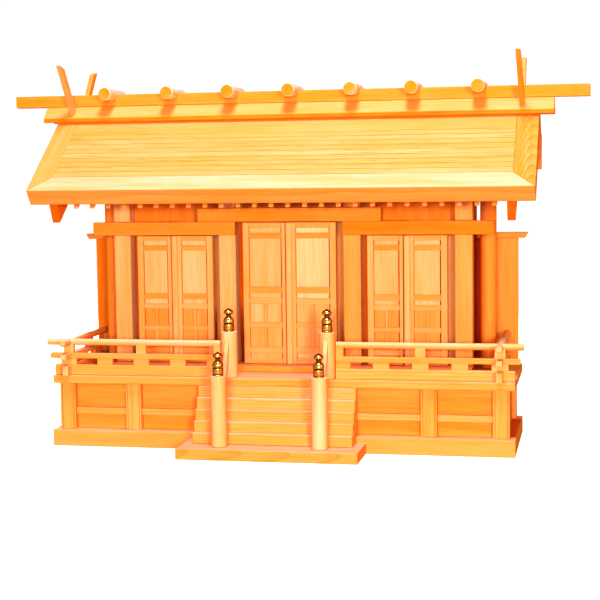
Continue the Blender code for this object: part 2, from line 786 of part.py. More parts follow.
def build_leaf(name, hinge_edge, free_edge, top, has_astragal):
    """One panelled leaf. Its origin is on the pivot, near the hinge edge and in mid thickness."""
    sign = 1.0 if free_edge > hinge_edge else -1.0
    pivot_x = hinge_edge + sign * PIVOT_INSET
    pivot_depth = DOOR_FRONT + DOOR_THICKNESS / 2
    front = -DOOR_THICKNESS / 2
    back = DOOR_THICKNESS / 2
    hinge = hinge_edge - pivot_x
    free = free_edge - pivot_x
    height = top - DOOR_BOTTOM

    outline = [(hinge, back), (hinge, front)]
    stile_end = free - sign * INNER_STILE
    if has_astragal:
        moulding = astragal_outline(free, -sign, front)
        outline += list(reversed(moulding))
        stile_end -= sign * ASTRAGAL_WIDTH
    else:
        outline.append((free, front))
    outline.append((free, back))
    leaf = add_object(name, prism(outline, "Z", 0.0, height), (pivot_x, pivot_depth, DOOR_BOTTOM))
    leaf.data.materials.append(pale_cypress(name))

    panel_start = hinge + sign * OUTER_STILE
    panel_width = abs(stile_end - panel_start)
    cutters = []
    for low_share, high_share, count in PANEL_ROWS:
        width = (panel_width - (count - 1) * MULLION_WIDTH) / count
        for number in range(count):
            near = panel_start + sign * number * (width + MULLION_WIDTH)
            cutters.append(
                block(
                    (near, near + sign * width),
                    (front - 0.005, front + PANEL_RECESS),
                    (low_share * height, high_share * height),
                )
            )
    combine(leaf, cutters, "DIFFERENCE")
    return leaf


def build_doors():
    """Three pairs of leaves. The right leaf of each pair is wider and carries the astragal."""
    bays = (
        ("left", -SIDE_DOORS_OUTER, -SIDE_DOORS_INNER, SIDE_DOOR_TOP),
        ("centre", -CENTRE_DOORS_HALF, CENTRE_DOORS_HALF, CENTRE_DOOR_TOP),
        ("right", SIDE_DOORS_INNER, SIDE_DOORS_OUTER, SIDE_DOOR_TOP),
    )
    for bay, left_edge, right_edge, top in bays:
        meeting = (left_edge + right_edge - WIDER_LEAF_EXTRA) / 2
        build_leaf("door_{}_l".format(bay), left_edge, meeting - MEETING_GAP / 2, top, False)
        build_leaf("door_{}_r".format(bay), right_edge, meeting + MEETING_GAP / 2, top, True)


def build_wing_screens():
    """A panel and a sloping-ended cap, glued up, outside each rear corner of the hall."""
    panel_outline = (
        (SIDE_WALL_OUTER + FIT_GAP, HALL_FLOOR_TOP + FIT_GAP),
        (HALL_FLOOR_HALF_WIDTH + FIT_GAP, HALL_FLOOR_TOP + FIT_GAP),
        (HALL_FLOOR_HALF_WIDTH + FIT_GAP, DECK_TOP + FIT_GAP),
        (WING_OUTER, DECK_TOP + FIT_GAP),
        (WING_OUTER, WING_CAP_BOTTOM + EMBED),
        (SIDE_WALL_OUTER + FIT_GAP, WING_CAP_BOTTOM + EMBED),
    )
    for side, sign in sides():
        form = prism(mirrored(panel_outline, sign), "Y", WING_DEPTH, WING_DEPTH + WING_THICKNESS)
        screen = add_object("wing_screen_" + side, form)
        screen.data.materials.append(cypress(screen.name))
        cap_outline = (
            (WING_CAP_INNER, WING_CAP_BOTTOM),
            (WING_CAP_OUTER - WING_CAP_BEVEL, WING_CAP_BOTTOM),
            (WING_CAP_OUTER, WING_CAP_TOP),
            (WING_CAP_INNER, WING_CAP_TOP),
        )
        cap = prism(mirrored(cap_outline, sign), "Y", WING_CAP_FRONT, WING_CAP_BACK)
        combine(screen, [cap], "UNION")


def build_ceiling():
    """The board over the hall, with the wall plate on its front edge that closes the loft."""
    plate_back = CEILING_FRONT + WALL_PLATE_DEPTH
    back = BACK_WALL_DEPTH - FIT_GAP
    outline = (
        (CEILING_FRONT, CEILING_BOTTOM),
        (back, CEILING_BOTTOM),
        (back, CEILING_TOP),
        (plate_back, CEILING_TOP),
        (plate_back, slope_underside(plate_back) - FIT_GAP),
        (CEILING_FRONT, slope_underside(CEILING_FRONT) - FIT_GAP),
    )
    ceiling = add_object("ceiling", prism(outline, "X", -CEILING_HALF_WIDTH, CEILING_HALF_WIDTH))
    ceiling.data.materials.append(cypress("ceiling"))


def rafter_underside(depth):
    return RAFTER_TIP_BOTTOM + (depth - RAFTER_TIP_DEPTH) * math.tan(ROOF_SLOPE)


def build_eaves():
    """A second board under the front slope, set back from its edge, with the rafters glued below it."""
    rafter_drop = RAFTER_HEIGHT / math.cos(ROOF_SLOPE)
    front = RAFTER_TIP_DEPTH + EAVE_BOARD_SET_BACK
    back = CEILING_FRONT - FIT_GAP
    board = (
        (front, rafter_underside(front) + rafter_drop),
        (back, rafter_underside(back) + rafter_drop),
        (back, slope_underside(back) - FIT_GAP),
        (front, slope_underside(front) - FIT_GAP),
    )
    eaves = add_object("eaves", prism(board, "X", -CEILING_HALF_WIDTH, CEILING_HALF_WIDTH))
    eaves.data.materials.append(cypress("eaves"))
    rafter_back = back - FIT_GAP
    rafter = (
        (RAFTER_TIP_DEPTH, rafter_underside(RAFTER_TIP_DEPTH)),
        (rafter_back, rafter_underside(rafter_back)),
        (rafter_back, rafter_underside(rafter_back) + rafter_drop + EMBED),
        (RAFTER_TIP_DEPTH, rafter_underside(RAFTER_TIP_DEPTH) + rafter_drop + EMBED),
    )
    rafters = []
    for number in range(RAFTER_COUNT):
        middle = (number - (RAFTER_COUNT - 1) / 2) * RAFTER_SPACING
        rafters.append(prism(rafter, "X", middle - RAFTER_WIDTH / 2, middle + RAFTER_WIDTH / 2))
    combine(eaves, rafters, "UNION")


def slope_top(depth):
    """Height of the roof's upper surface at a depth, in front of the ridge or behind it."""
    run = min(depth, 2 * RIDGE_DEPTH - depth) - EAVE_DEPTH
    return EAVE_Z + run * math.tan(ROOF_SLOPE)


def slope_underside(depth):
    return slope_top(depth) - ROOF_THICKNESS / math.cos(ROOF_SLOPE)


def build_gables():
    """Barge boards under both slopes at each end, with the triangular gable board behind them."""
    barge_drop = slope_underside(BARGE_FRONT_DEPTH) - BARGE_FRONT_BOTTOM
    rear = REAR_BOARD_FRONT - FIT_GAP
    barge = (
        (BARGE_FRONT_TOP, slope_underside(BARGE_FRONT_TOP) - FIT_GAP),
        (BARGE_FRONT_DEPTH, BARGE_FRONT_BOTTOM),
        (RIDGE_DEPTH, slope_underside(RIDGE_DEPTH) - barge_drop),
        (rear, slope_underside(rear) - barge_drop),
        (rear, slope_underside(rear) - FIT_GAP),
        (RIDGE_DEPTH, slope_underside(RIDGE_DEPTH) - FIT_GAP),
    )
    front = GABLE_BOARD_FRONT
    board = (
        (front, CEILING_TOP + FIT_GAP),
        (rear, CEILING_TOP + FIT_GAP),
        (rear, slope_underside(rear) - 2 * FIT_GAP),
        (RIDGE_DEPTH, slope_underside(RIDGE_DEPTH) - 2 * FIT_GAP),
        (front, slope_underside(front) - 2 * FIT_GAP),
    )
    for side, sign in sides():
        barge_span = sorted((sign * BARGE_OUTER, sign * (BARGE_OUTER - BARGE_THICKNESS)))
        gable = add_object("gable_" + side, prism(barge, "X", *barge_span))
        gable.data.materials.append(cypress(gable.name))
        board_outer = BARGE_OUTER - BARGE_THICKNESS + EMBED
        board_span = sorted((sign * GABLE_BOARD_INNER, sign * board_outer))
        combine(gable, [prism(board, "X", *board_span)], "UNION")


def slope_point(along, above):
    """Depth and height of a point measured up the front slope from the eave, and square to it."""
    depth = EAVE_DEPTH + along * math.cos(ROOF_SLOPE) - above * math.sin(ROOF_SLOPE)
    height = EAVE_Z + along * math.sin(ROOF_SLOPE) + above * math.cos(ROOF_SLOPE)
    return depth, height


def field_grooves():
    """Shallow V-grooves that divide the field of the front slope into narrow boards."""
    grooves = []
    for number in range(FIELD_BOARD_COUNT + 1):
        middle = FIELD_START + number * FIELD_BOARD_WIDTH
        outline = (
            slope_point(middle, -GROOVE_DEPTH),
            slope_point(middle + GROOVE_WIDTH, GROOVE_DEPTH),
            slope_point(middle - GROOVE_WIDTH, GROOVE_DEPTH),
        )
        grooves.append(prism(outline, "X", -FIELD_HALF_WIDTH, FIELD_HALF_WIDTH))
    return grooves


def build_roof_slopes():
    """The front slope is cut square to its own fall at the eave. The rear one ends on an upright board."""
    cut_run = ROOF_THICKNESS * math.sin(ROOF_SLOPE)
    cut_drop = ROOF_THICKNESS * math.cos(ROOF_SLOPE)
    front_end = RIDGE_DEPTH - FIT_GAP / 2
    rear_start = RIDGE_DEPTH + FIT_GAP / 2
    front = (
        (EAVE_DEPTH, EAVE_Z),
        (EAVE_DEPTH + cut_run, EAVE_Z - cut_drop),
        (front_end, slope_underside(front_end)),
        (front_end, slope_top(front_end)),
    )
    rear = (
        (rear_start, slope_top(rear_start)),
        (rear_start, slope_underside(rear_start)),
        (REAR_BOARD_FRONT, slope_underside(REAR_BOARD_FRONT)),
        (REAR_BOARD_FRONT, REAR_BOARD_BOTTOM),
        (ROOF_BACK, REAR_BOARD_BOTTOM),
        (ROOF_BACK, REAR_BOARD_TOP),
        (REAR_BOARD_FRONT, REAR_BOARD_TOP),
        (REAR_BOARD_FRONT, slope_top(REAR_BOARD_FRONT)),
    )
    for name, outline in (("roof_front", front), ("roof_rear", rear)):
        slope = add_object(name, prism(outline, "X", -EAVE_HALF_WIDTH, EAVE_HALF_WIDTH))
        slope.data.materials.append(cypress(name))
    combine(bpy.data.objects["roof_front"], field_grooves(), "DIFFERENCE")


def cap_slope_z(offset):
    """Height of the ridge cap's sloping face at a distance from the ridge's middle."""
    share = (CAP_HALF_DEPTH - abs(offset)) / (CAP_HALF_DEPTH - CAP_FLAT_HALF)
    return CAP_EDGE_TOP + share * (CAP_TOP - CAP_EDGE_TOP)


def build_ridge_cap():
    roof_run = (slope_top(RIDGE_DEPTH) + FIT_GAP - CAP_EDGE_BOTTOM) / math.tan(ROOF_SLOPE)
    half = [
        (roof_run, CAP_EDGE_BOTTOM),
        (CAP_HALF_DEPTH, CAP_EDGE_BOTTOM),
        (CAP_HALF_DEPTH, CAP_EDGE_TOP),
        (CAP_FLAT_HALF, CAP_TOP),
    ]
    outline = [(RIDGE_DEPTH, slope_top(RIDGE_DEPTH) + FIT_GAP)]
    outline += [(RIDGE_DEPTH + offset, z) for offset, z in half]
    outline += [(RIDGE_DEPTH - offset, z) for offset, z in reversed(half)]
    cap = add_object("ridge_cap", prism(outline, "X", -CAP_HALF_WIDTH, CAP_HALF_WIDTH))
    cap.data.materials.append(pale_cypress("ridge_cap"))


def ridge_log_middles():
    middles = []
    for number, stray in enumerate(RIDGE_LOG_STRAY):
        middles.append((number - (RIDGE_LOG_COUNT - 1) / 2) * RIDGE_LOG_SPACING + stray)
    return middles


def build_ridge_beam():
    """The square beam on the cap, with a half-round seat for each log."""
    bottom = CAP_TOP + 0.0002
    top = bottom + RIDGE_BEAM_SIZE
    seat = RIDGE_LOG_RADIUS + FIT_GAP
    outline = [(HALF_LENGTH, top), (HALF_LENGTH, bottom), (-HALF_LENGTH, bottom), (-HALF_LENGTH, top)]
    for middle in ridge_log_middles():
        for number in range(ROUND_SEGMENTS // 2 + 1):
            angle = math.pi * (1 + 2 * number / ROUND_SEGMENTS)
            outline.append((middle + seat * math.cos(angle), top + seat * math.sin(angle)))
    depth = RIDGE_DEPTH - RIDGE_BEAM_SIZE / 2
    beam = add_object("ridge_beam", prism(outline, "Y", depth, depth + RIDGE_BEAM_SIZE))
    beam.data.materials.append(cypress("ridge_beam"))
    return top


def build_ridge_logs(axis_z):
    chamfer = 0.0007
    half = RIDGE_LOG_LENGTH / 2
    profile = (
        (0.0, -half),
        (RIDGE_LOG_RADIUS - chamfer, -half),
        (RIDGE_LOG_RADIUS, -half + chamfer),
        (RIDGE_LOG_RADIUS, half - chamfer),
        (RIDGE_LOG_RADIUS - chamfer, half),
        (0.0, half),
    )
    for number, middle in enumerate(ridge_log_middles(), start=1):
        location = (middle, RIDGE_DEPTH, axis_z)
        log = add_object("ridge_log_{}".format(number), turned(profile), location, smooth=True)
        log.rotation_euler = (math.pi / 2, 0.0, 0.0)
        log.data.materials.append(pale_cypress(log.name))


def build_chigi():
    """Four finials. Each foot is cut to the cap's slope, and the shaft leans away from the ridge."""
    shaft = (
        (-CHIGI_FOOT_LOW, cap_slope_z(CHIGI_FOOT_LOW) + FIT_GAP),
        (-CHIGI_FOOT_HIGH, cap_slope_z(CHIGI_FOOT_HIGH) + FIT_GAP),
    )
    lean = (CHIGI_TIP_REACH - CHIGI_FOOT_LOW) / (CHIGI_TIP_Z - shaft[0][1])
    tip_back = -CHIGI_FOOT_HIGH - lean * (CHIGI_TIP_BACK_Z - shaft[1][1])
    outline = shaft + ((tip_back, CHIGI_TIP_BACK_Z), (-CHIGI_TIP_REACH, CHIGI_TIP_Z))
    foot_z = shaft[0][1]
    for place, direction, middle, stray, rise in CHIGI_PLACES:
        points = [(RIDGE_DEPTH + direction * offset, z) for offset, z in outline]
        form = prism(points, "X", middle - CHIGI_THICKNESS / 2, middle + CHIGI_THICKNESS / 2)
        for corner in form.verts:
            share = (corner.co.z - foot_z) / (CHIGI_TIP_Z - foot_z)
            if share > 0.5:
                corner.co.x += share * stray
                corner.co.z += rise
        finial = add_object("chigi_" + place, form)
        finial.data.materials.append(pale_cypress(finial.name))


def main():
    clear_scene()
    shrine = bpy.data.objects.new("shrine", None)
    bpy.context.scene.collection.objects.link(shrine)
    shrine.location = (0.0, -SHRINE_MIDDLE_DEPTH, 0.0)

    build_plinth()
    build_lower_storey()
    build_deck()
    build_stair()
    build_newels()
    build_handrails()
    build_railings()
    build_hall_floor()
    build_posts()
    build_columns()
    build_front_wall()
    build_inner_walls()
    build_back_wall()
    build_lintels()
    build_doors()
    build_wing_screens()
    build_ceiling()
    build_eaves()
    build_gables()
    build_roof_slopes()
    build_ridge_cap()
    log_axis = build_ridge_beam()
    build_ridge_logs(log_axis)
    build_chigi()


main()
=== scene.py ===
"""Looks of the kamidana: planed cypress members, each with its own grain, and turned brass caps.

Units are metres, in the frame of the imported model: X along the front, -Y towards the viewer, Z up.
Depths are measured backwards from the plinth's front face.
"""

import json
import math
import random

import bmesh
import bpy
from mathutils import Matrix, Vector

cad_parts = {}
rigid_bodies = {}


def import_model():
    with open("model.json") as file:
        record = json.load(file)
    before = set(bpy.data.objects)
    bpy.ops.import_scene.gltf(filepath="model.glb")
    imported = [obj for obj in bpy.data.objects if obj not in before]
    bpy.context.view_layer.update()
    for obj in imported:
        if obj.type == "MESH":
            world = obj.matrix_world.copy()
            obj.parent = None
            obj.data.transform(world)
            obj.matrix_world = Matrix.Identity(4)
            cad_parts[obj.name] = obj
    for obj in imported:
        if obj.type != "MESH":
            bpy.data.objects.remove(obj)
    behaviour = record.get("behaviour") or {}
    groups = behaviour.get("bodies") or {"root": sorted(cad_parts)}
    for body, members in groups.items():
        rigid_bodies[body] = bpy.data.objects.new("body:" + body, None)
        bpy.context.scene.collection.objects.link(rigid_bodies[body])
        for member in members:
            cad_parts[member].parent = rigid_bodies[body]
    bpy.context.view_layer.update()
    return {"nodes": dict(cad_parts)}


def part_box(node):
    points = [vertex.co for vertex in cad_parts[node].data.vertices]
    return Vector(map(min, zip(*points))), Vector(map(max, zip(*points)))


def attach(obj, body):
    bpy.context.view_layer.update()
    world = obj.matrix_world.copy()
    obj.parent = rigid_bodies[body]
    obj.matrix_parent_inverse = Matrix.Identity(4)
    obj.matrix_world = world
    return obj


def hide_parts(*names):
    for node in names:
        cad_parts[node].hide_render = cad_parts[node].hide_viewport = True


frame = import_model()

bl_info = {
    "name": "Kamidana looks",
    "version": (1, 0, 0),
    "blender": (4, 5, 0),
    "location": "3D View > Sidebar > Kamidana",
    "description": "Builds the visible timber and brass of a miniature house shrine",
    "category": "Object",
}

ALONG_X = Vector((1.0, 0.0, 0.0))
ALONG_Y = Vector((0.0, 1.0, 0.0))
ALONG_Z = Vector((0.0, 0.0, 1.0))
FACES_FRONT = Vector((0.0, -1.0, 0.0))
FACES_UP = Vector((0.0, 0.0, 1.0))
FACES_SIDE = Vector((1.0, 0.0, 0.0))

# Joints: between the members of one piece, and between two pieces

HAIRLINE = 0.00012
FIT_GAP = 0.0003

# Edges sharper than the first angle are planed, and those sharper than the second are shaded as edges.
PLANED_ANGLE = math.radians(24.0)
SHARP_ANGLE = math.radians(32.0)

# Tones of the timber. 0 is the deep colour, more is paler, less is redder. The steps are the tones of the
# five colours from shade to pale. Clouds and streaks change the tone by up to half their strength.
# The two lowest colours, shade and heartwood, also serve as painted shade on boards in gaps and recesses.

TONE_STEPS = (-1.2, -0.5, 0.0, 0.5, 1.3)
CLOUD_STRENGTH = 0.55
STREAK_STRENGTH = 0.70
GLOSS_SPREAD = 0.25
RELIEF_HEIGHT = 0.0002
RELIEF_STRENGTH = 0.35
TIMBER_SPECULAR = 0.10

# End grain is deeper than the planed faces, and rails have paler ends. The narrow sides of most boards are
# deeper as painted shade.
END_GRAIN_DROP = 0.22
SAWN_END_DROP = -0.20
SIDE_PAINTED_SHADE = 0.24

# How strongly the short resin dashes and the growth rings show on most boards.
PLAIN_DASH = 0.18
PLAIN_RINGS = 0.36

# The two jambs of a doorway: the right one pale as painted light, the left one redder as painted shade.
PAINTED_LIT_JAMB = 0.62
PAINTED_SHADED_JAMB = -0.22

# Brass: how far smudges change its colour and its roughness, how much rougher tarnish is, and between
# which shares of turning away from the eye the outline darkens, as a painted dark reflection.
SMUDGE_COLOUR = 0.25
SMUDGE_ROUGHNESS = 0.16
SMUDGE_OFFSET = -0.06
TARNISH_ROUGHNESS = 0.3
PAINTED_RIM_START = 0.24
PAINTED_RIM_END = 0.62

# Points nearer than this are one point, in turned forms and in the copies of CAD solids.
TURNED_WELD = 0.000005
COPY_WELD = 0.00001

# Lower storey

PLINTH_BOARD = 0.0240
POST_WIDTH = 0.0210
POST_FRONT = 0.0100
CORNER_OUTER = 0.3014
MIDDLE_POST_X = 0.1985
STOREY_WALL_FRONT = 0.0180
STOREY_WALL_SIDE = 0.2960
STOREY_WALL = 0.0080
STOREY_BACK = 0.1800
GROOVE_START = 0.0022
GROOVE_END = 0.0030
GROOVE_DEPTH = 0.0014
TIE_LOW = 0.0417
TIE_HIGH = 0.0501
TIE_PROUD = 0.0040

# Stair

STEP_COUNT = 5
STEP_GOING = 0.0082
TOP_STEP_FRONT = 0.0006

# Railing. Ends and blocks are X from the middle of the shrine, fronts and backs are depths.

RAIL_START = 0.0772
RAIL_FRONT = 0.0120
RAIL_BACK = 0.1715
SIDE_RAIL_X = 0.2891
SIDE_RAIL_WIDTH = 0.0082
TOP_RAIL_RADIUS = 0.0043
TOP_RAIL_Z = 0.1392
TOP_RAIL_DEPTH = 0.0160
MIDDLE_RAIL = (0.1172, 0.1243)
BOTTOM_RAIL = (0.0952, 0.1088)
BLOCK_SPACING = 0.0509
LOWER_BLOCK = 0.0215
UPPER_BLOCK = 0.0138
BOTTOM_RAIL_END = 0.3081
MIDDLE_RAIL_END = 0.3148
TOP_RAIL_END = 0.3193
BOTTOM_RAIL_DEPTHS = (0.0112, 0.0207)
MIDDLE_RAIL_BACK = 0.0198
SIDE_BOTTOM_RAIL_FRONT = -0.0030
SIDE_MIDDLE_RAIL_FRONT = -0.0085
SIDE_TOP_RAIL_FRONT = -0.0115
SIDE_RAIL_LAP = 0.0002
BLOCK_INSET = 0.0003
BLOCK_BACK = 0.0070
STAIR_LOWER_BLOCK = 0.0965
STAIR_UPPER_BLOCK = 0.0870
REAR_BLOCK = 0.0095

# Doors

DOOR_FRONT = 0.0911
DOOR_BACK = 0.1006
OUTER_STILE = 0.0085
INNER_STILE = 0.0050
ASTRAGAL_WIDTH = 0.0085
ASTRAGAL_PROUD = 0.0030
ASTRAGAL_CORNER = 0.0024
ASTRAGAL_STEPS = 6
MULLION = 0.0036
PANEL_RECESS = 0.0032
PANEL_TONGUE = 0.0028
TONGUE_INSET = 0.0008
PANEL_LAP = 0.0005
LEAF_SOFTENING = 0.0003
PANEL_GAP_LEFT = 0.0003
PANEL_GAP_RIGHT = 0.0015

# Each row of panels: lower and upper edge as shares of the leaf's height, panels side by side,
# tone of the panels, tone of the rail below them. Lower rows' panels are deeper, as painted shade.
PANEL_ROWS = (
    (0.041, 0.074, 1, 0.52, 0.42),
    (0.118, 0.254, 2, 0.42, 0.44),
    (0.291, 0.425, 2, 0.44, 0.46),
    (0.466, 0.503, 1, 0.64, 0.48),
    (0.545, 0.888, 1, 0.62, 0.30),
    (0.927, 0.962, 1, 0.68, 0.20),
)
TOP_RAIL_TONE = 0.38

# Change of tone of the paired panels: painted shade in the side bays, behind the railing, and paler in the
# centre.
LOW_PANELS_CENTRE = 0.12
LOW_PANELS_PAINTED_SHADE = -0.12

# Roof

EAVE_HALF_WIDTH = 0.3343
EAVE_DEPTH = -0.0098
EAVE_Z = 0.3436
ROOF_SLOPE = math.atan(0.747)
ROOF_THICKNESS = 0.0240
RIDGE_DEPTH = 0.1310
FIELD_HALF_WIDTH = 0.3055
FIELD_START = 0.0295
FIELD_BOARD_COUNT = 9
FIELD_BOARD_WIDTH = 0.0104
FIELD_BOARD_THICKNESS = 0.0080
FIELD_GAP = 0.00055
REAR_SLOPE_BOARD_COUNT = 3
REAR_BOARD_FRONT = 0.1900
REAR_BOARD_BACK = 0.2000
REAR_BOARD_LOW = 0.3630
REAR_BOARD_HIGH = 0.4110
BARGE_OUTER = 0.3087
BARGE_THICKNESS = 0.0103
BARGE_TIP_DEPTH = 0.0064
BARGE_HEEL_DEPTH = 0.0185
BARGE_HEEL_Z = 0.2998
GABLE_INNER = 0.2886
GABLE_FRONT = 0.0400
GABLE_LOW = 0.3331
GABLE_BOARD_COUNT = 6
RAFTER_TIP_DEPTH = 0.0345
RAFTER_TIP_LOW = 0.3180
RAFTER_BACK = 0.0874
RAFTER_HEIGHT = 0.0080
EAVE_BOARD_SET_BACK = 0.0015
CAP_HALF_DEPTH = 0.0230
CAP_FLAT_HALF = 0.0075
CAP_EDGE = (0.4364, 0.4423)
CAP_TOP = 0.4583
LOG_COUNT = 7
LOG_CHAMFER = 0.0009
CHIGI_RUN = 0.0475
CHIGI_RISE = 0.0663

# Camera, as fitted to the photograph

CAMERA_PLACE = Vector((0.4078, -1.8561, 0.3711))
CAMERA_YAW = 0.2009
CAMERA_PITCH = -0.088
CAMERA_ROLL = -0.013
FOCAL_PIXELS = 1421.93
PRINCIPAL_POINT = (307.25, 291.79)
FRAME_PIXELS = 600


# Sizes, colours and light that a user would change


def colour_property(name, description, default):
    return bpy.props.FloatVectorProperty(
        name=name, description=description, subtype="COLOR", size=3, min=0.0, max=1.0, default=default
    )


def length_property(name, description, default, smallest=0.0):
    return bpy.props.FloatProperty(
        name=name, description=description, subtype="DISTANCE", unit="LENGTH", default=default, min=smallest
    )


def power_property(name, description, default):
    return bpy.props.FloatProperty(
        name=name, description=description, subtype="POWER", unit="POWER", default=default, min=0.0
    )


def share_property(name, description, default):
    return bpy.props.FloatProperty(
        name=name, description=description, subtype="FACTOR", default=default, min=0.0, max=1.0
    )


class KamidanaTimber(bpy.types.PropertyGroup):
    """Colour and grain of the cypress."""

    # Painted shade: the colour for timber in gaps and behind the columns, where shade falls.
    shade: colour_property(
        "Shade colour", "Colour of timber in gaps and behind the columns", (0.36, 0.022, 0.001)
    )
    # Partly the real reddish heartwood, and partly painted shade for the boards that stand back in
    # recesses.
    heartwood_and_painted_shade: colour_property(
        "Heartwood colour", "Colour of the reddest wood, in boards that stand back", (0.84, 0.128, 0.002)
    )
    deep: colour_property("Deep colour", "Colour of the boards that look orange", (0.92, 0.290, 0.009))
    middle: colour_property("Middle colour", "Colour between deep and pale", (0.94, 0.420, 0.135))
    pale: colour_property("Pale colour", "Colour of the palest sapwood", (0.96, 0.710, 0.550))
    line: colour_property("Line colour", "Colour of the late wood between two years", (0.62, 0.165, 0.008))
    ring_width: length_property("Ring width", "Distance between two growth rings", 0.0021, 0.0003)
    soften: length_property("Edge softening", "Width of the small chamfer along every planed edge", 0.0004)
    tone_spread: share_property("Tone spread", "How much one board differs from the next", 0.07)


class KamidanaBrass(bpy.types.PropertyGroup):
    """Colour and polish of the caps."""

    bright: colour_property("Brass colour", "Colour of the polished brass", (0.90, 0.58, 0.13))
    smudged: colour_property("Smudge colour", "Colour where hands have dulled it", (0.62, 0.26, 0.05))
    # The tarnish colour also paints the dark reflection along the caps' outline.
    tarnish: colour_property(
        "Tarnish colour", "Colour in the grooves, where no cloth reaches", (0.085, 0.012, 0.003)
    )
    roughness: share_property("Roughness", "Roughness of the polished brass", 0.16)


class KamidanaRows(bpy.types.PropertyGroup):
    """What repeats along the shrine."""

    rafter_count: bpy.props.IntProperty(
        name="Rafters", description="Rafters in the row under the front eave", default=26, min=2
    )
    rafter_spacing: length_property("Rafter spacing", "Distance between two rafters", 0.0225, 0.001)
    rafter_width: length_property("Rafter width", "Width of one rafter", 0.0062, 0.001)


class KamidanaStage(bpy.types.PropertyGroup):
    """Floor and light."""

    floor: colour_property("Floor colour", "Colour of the floor", (0.53, 0.41, 0.28))
    glow: bpy.props.FloatProperty(
        name="Floor glow",
        description="How much brighter the floor looks in the picture than its own light makes it",
        default=0.95,
        min=0.0,
    )
    gamma: bpy.props.FloatProperty(
        name="Picture gamma",
        description="Below 1 deepens the shadows, as in the photograph",
        default=0.74,
        min=0.2,
        max=5.0,
    )
    key: power_property("Key light", "Power of the large soft light above the viewer", 70.0)
    fill: power_property("Front fill", "Power of the soft light low in front", 75.0)
    right: power_property("Right fill", "Power of the soft light in front on the right", 80.0)
    side: power_property("Side fill", "Power of the soft light on the right", 5.0)
    rear: power_property("Rear fill", "Power of the soft light behind, for the views from the back", 80.0)
    key_colour: colour_property("Key colour", "Colour of the key light", (0.60, 0.577, 1.0))
    fill_colour: colour_property("Fill colour", "Colour of all the other lamps", (1.0, 0.98, 0.78))
    room: bpy.props.FloatProperty(
        name="Room light", description="Strength of the even light from all sides", default=0.36, min=0.0
    )
    warmth: colour_property(
        "Room colour", "Colour of the even light, warm from the wood around it", (1.0, 0.66, 0.10)
    )
    mirrored: colour_property(
        "Mirrored room", "Light of the room as the polished brass mirrors it", (0.62, 0.50, 0.34)
    )


# Node wiring


class Wiring:
    """Adds nodes to one tree and joins them up."""

    def __init__(self, tree):
        self.tree = tree

    def put(self, socket, value):
        if isinstance(value, bpy.types.NodeSocket):
            self.tree.links.new(value, socket)
        elif value is not None:
            socket.default_value = value

    def node(self, kind, inputs=(), **settings):
        made = self.tree.nodes.new(kind)
        for name, value in settings.items():
            setattr(made, name, value)
        for key, value in dict(inputs).items():
            self.put(made.inputs[key], value)
        return made

    def math(self, operation, first, second=None, clamp=False):
        made = self.node("ShaderNodeMath", {0: first, 1: second}, operation=operation, use_clamp=clamp)
        return made.outputs[0]

    def vector_math(self, operation, first, second=None):
        made = self.node("ShaderNodeVectorMath", {0: first, 1: second}, operation=operation)
        return made.outputs["Value" if operation == "LENGTH" else "Vector"]

    def mix_colour(self, factor, first, second):
        made = self.node("ShaderNodeMix", {0: factor, 6: first, 7: second}, data_type="RGBA")
        return made.outputs[2]

    def around_zero(self, value, strength):
        """A share from 0 to 1 as a change of tone to either side."""
        return self.math("MULTIPLY", self.math("SUBTRACT", value, 0.5), strength)

    def noise(self, place, stretch, detail, roughness=0.5):
        stretched = self.vector_math("MULTIPLY", place, stretch)
        made = self.node(
            "ShaderNodeTexNoise",
            {"Vector": stretched, "Scale": 1.0, "Detail": detail, "Roughness": roughness},
        )
        return made.outputs[0]

    def smooth_range(self, value, low, high):
        made = self.node(
            "ShaderNodeMapRange",
            {"Value": value, "From Min": low, "From Max": high},
            interpolation_type="SMOOTHSTEP",
        )
        return made.outputs[0]


def new_tree(name, kind, inputs, outputs):
    """A node group with named sockets. Returns it with its wiring, its input node and its output node."""
    tree = bpy.data.node_groups.new(name, kind)
    for in_out, sockets in (("INPUT", inputs), ("OUTPUT", outputs)):
        for label, socket_type, default in sockets:
            socket = tree.interface.new_socket(label, in_out=in_out, socket_type=socket_type)
            if default is not None:
                socket.default_value = default
    return tree, Wiring(tree), tree.nodes.new("NodeGroupInput"), tree.nodes.new("NodeGroupOutput")


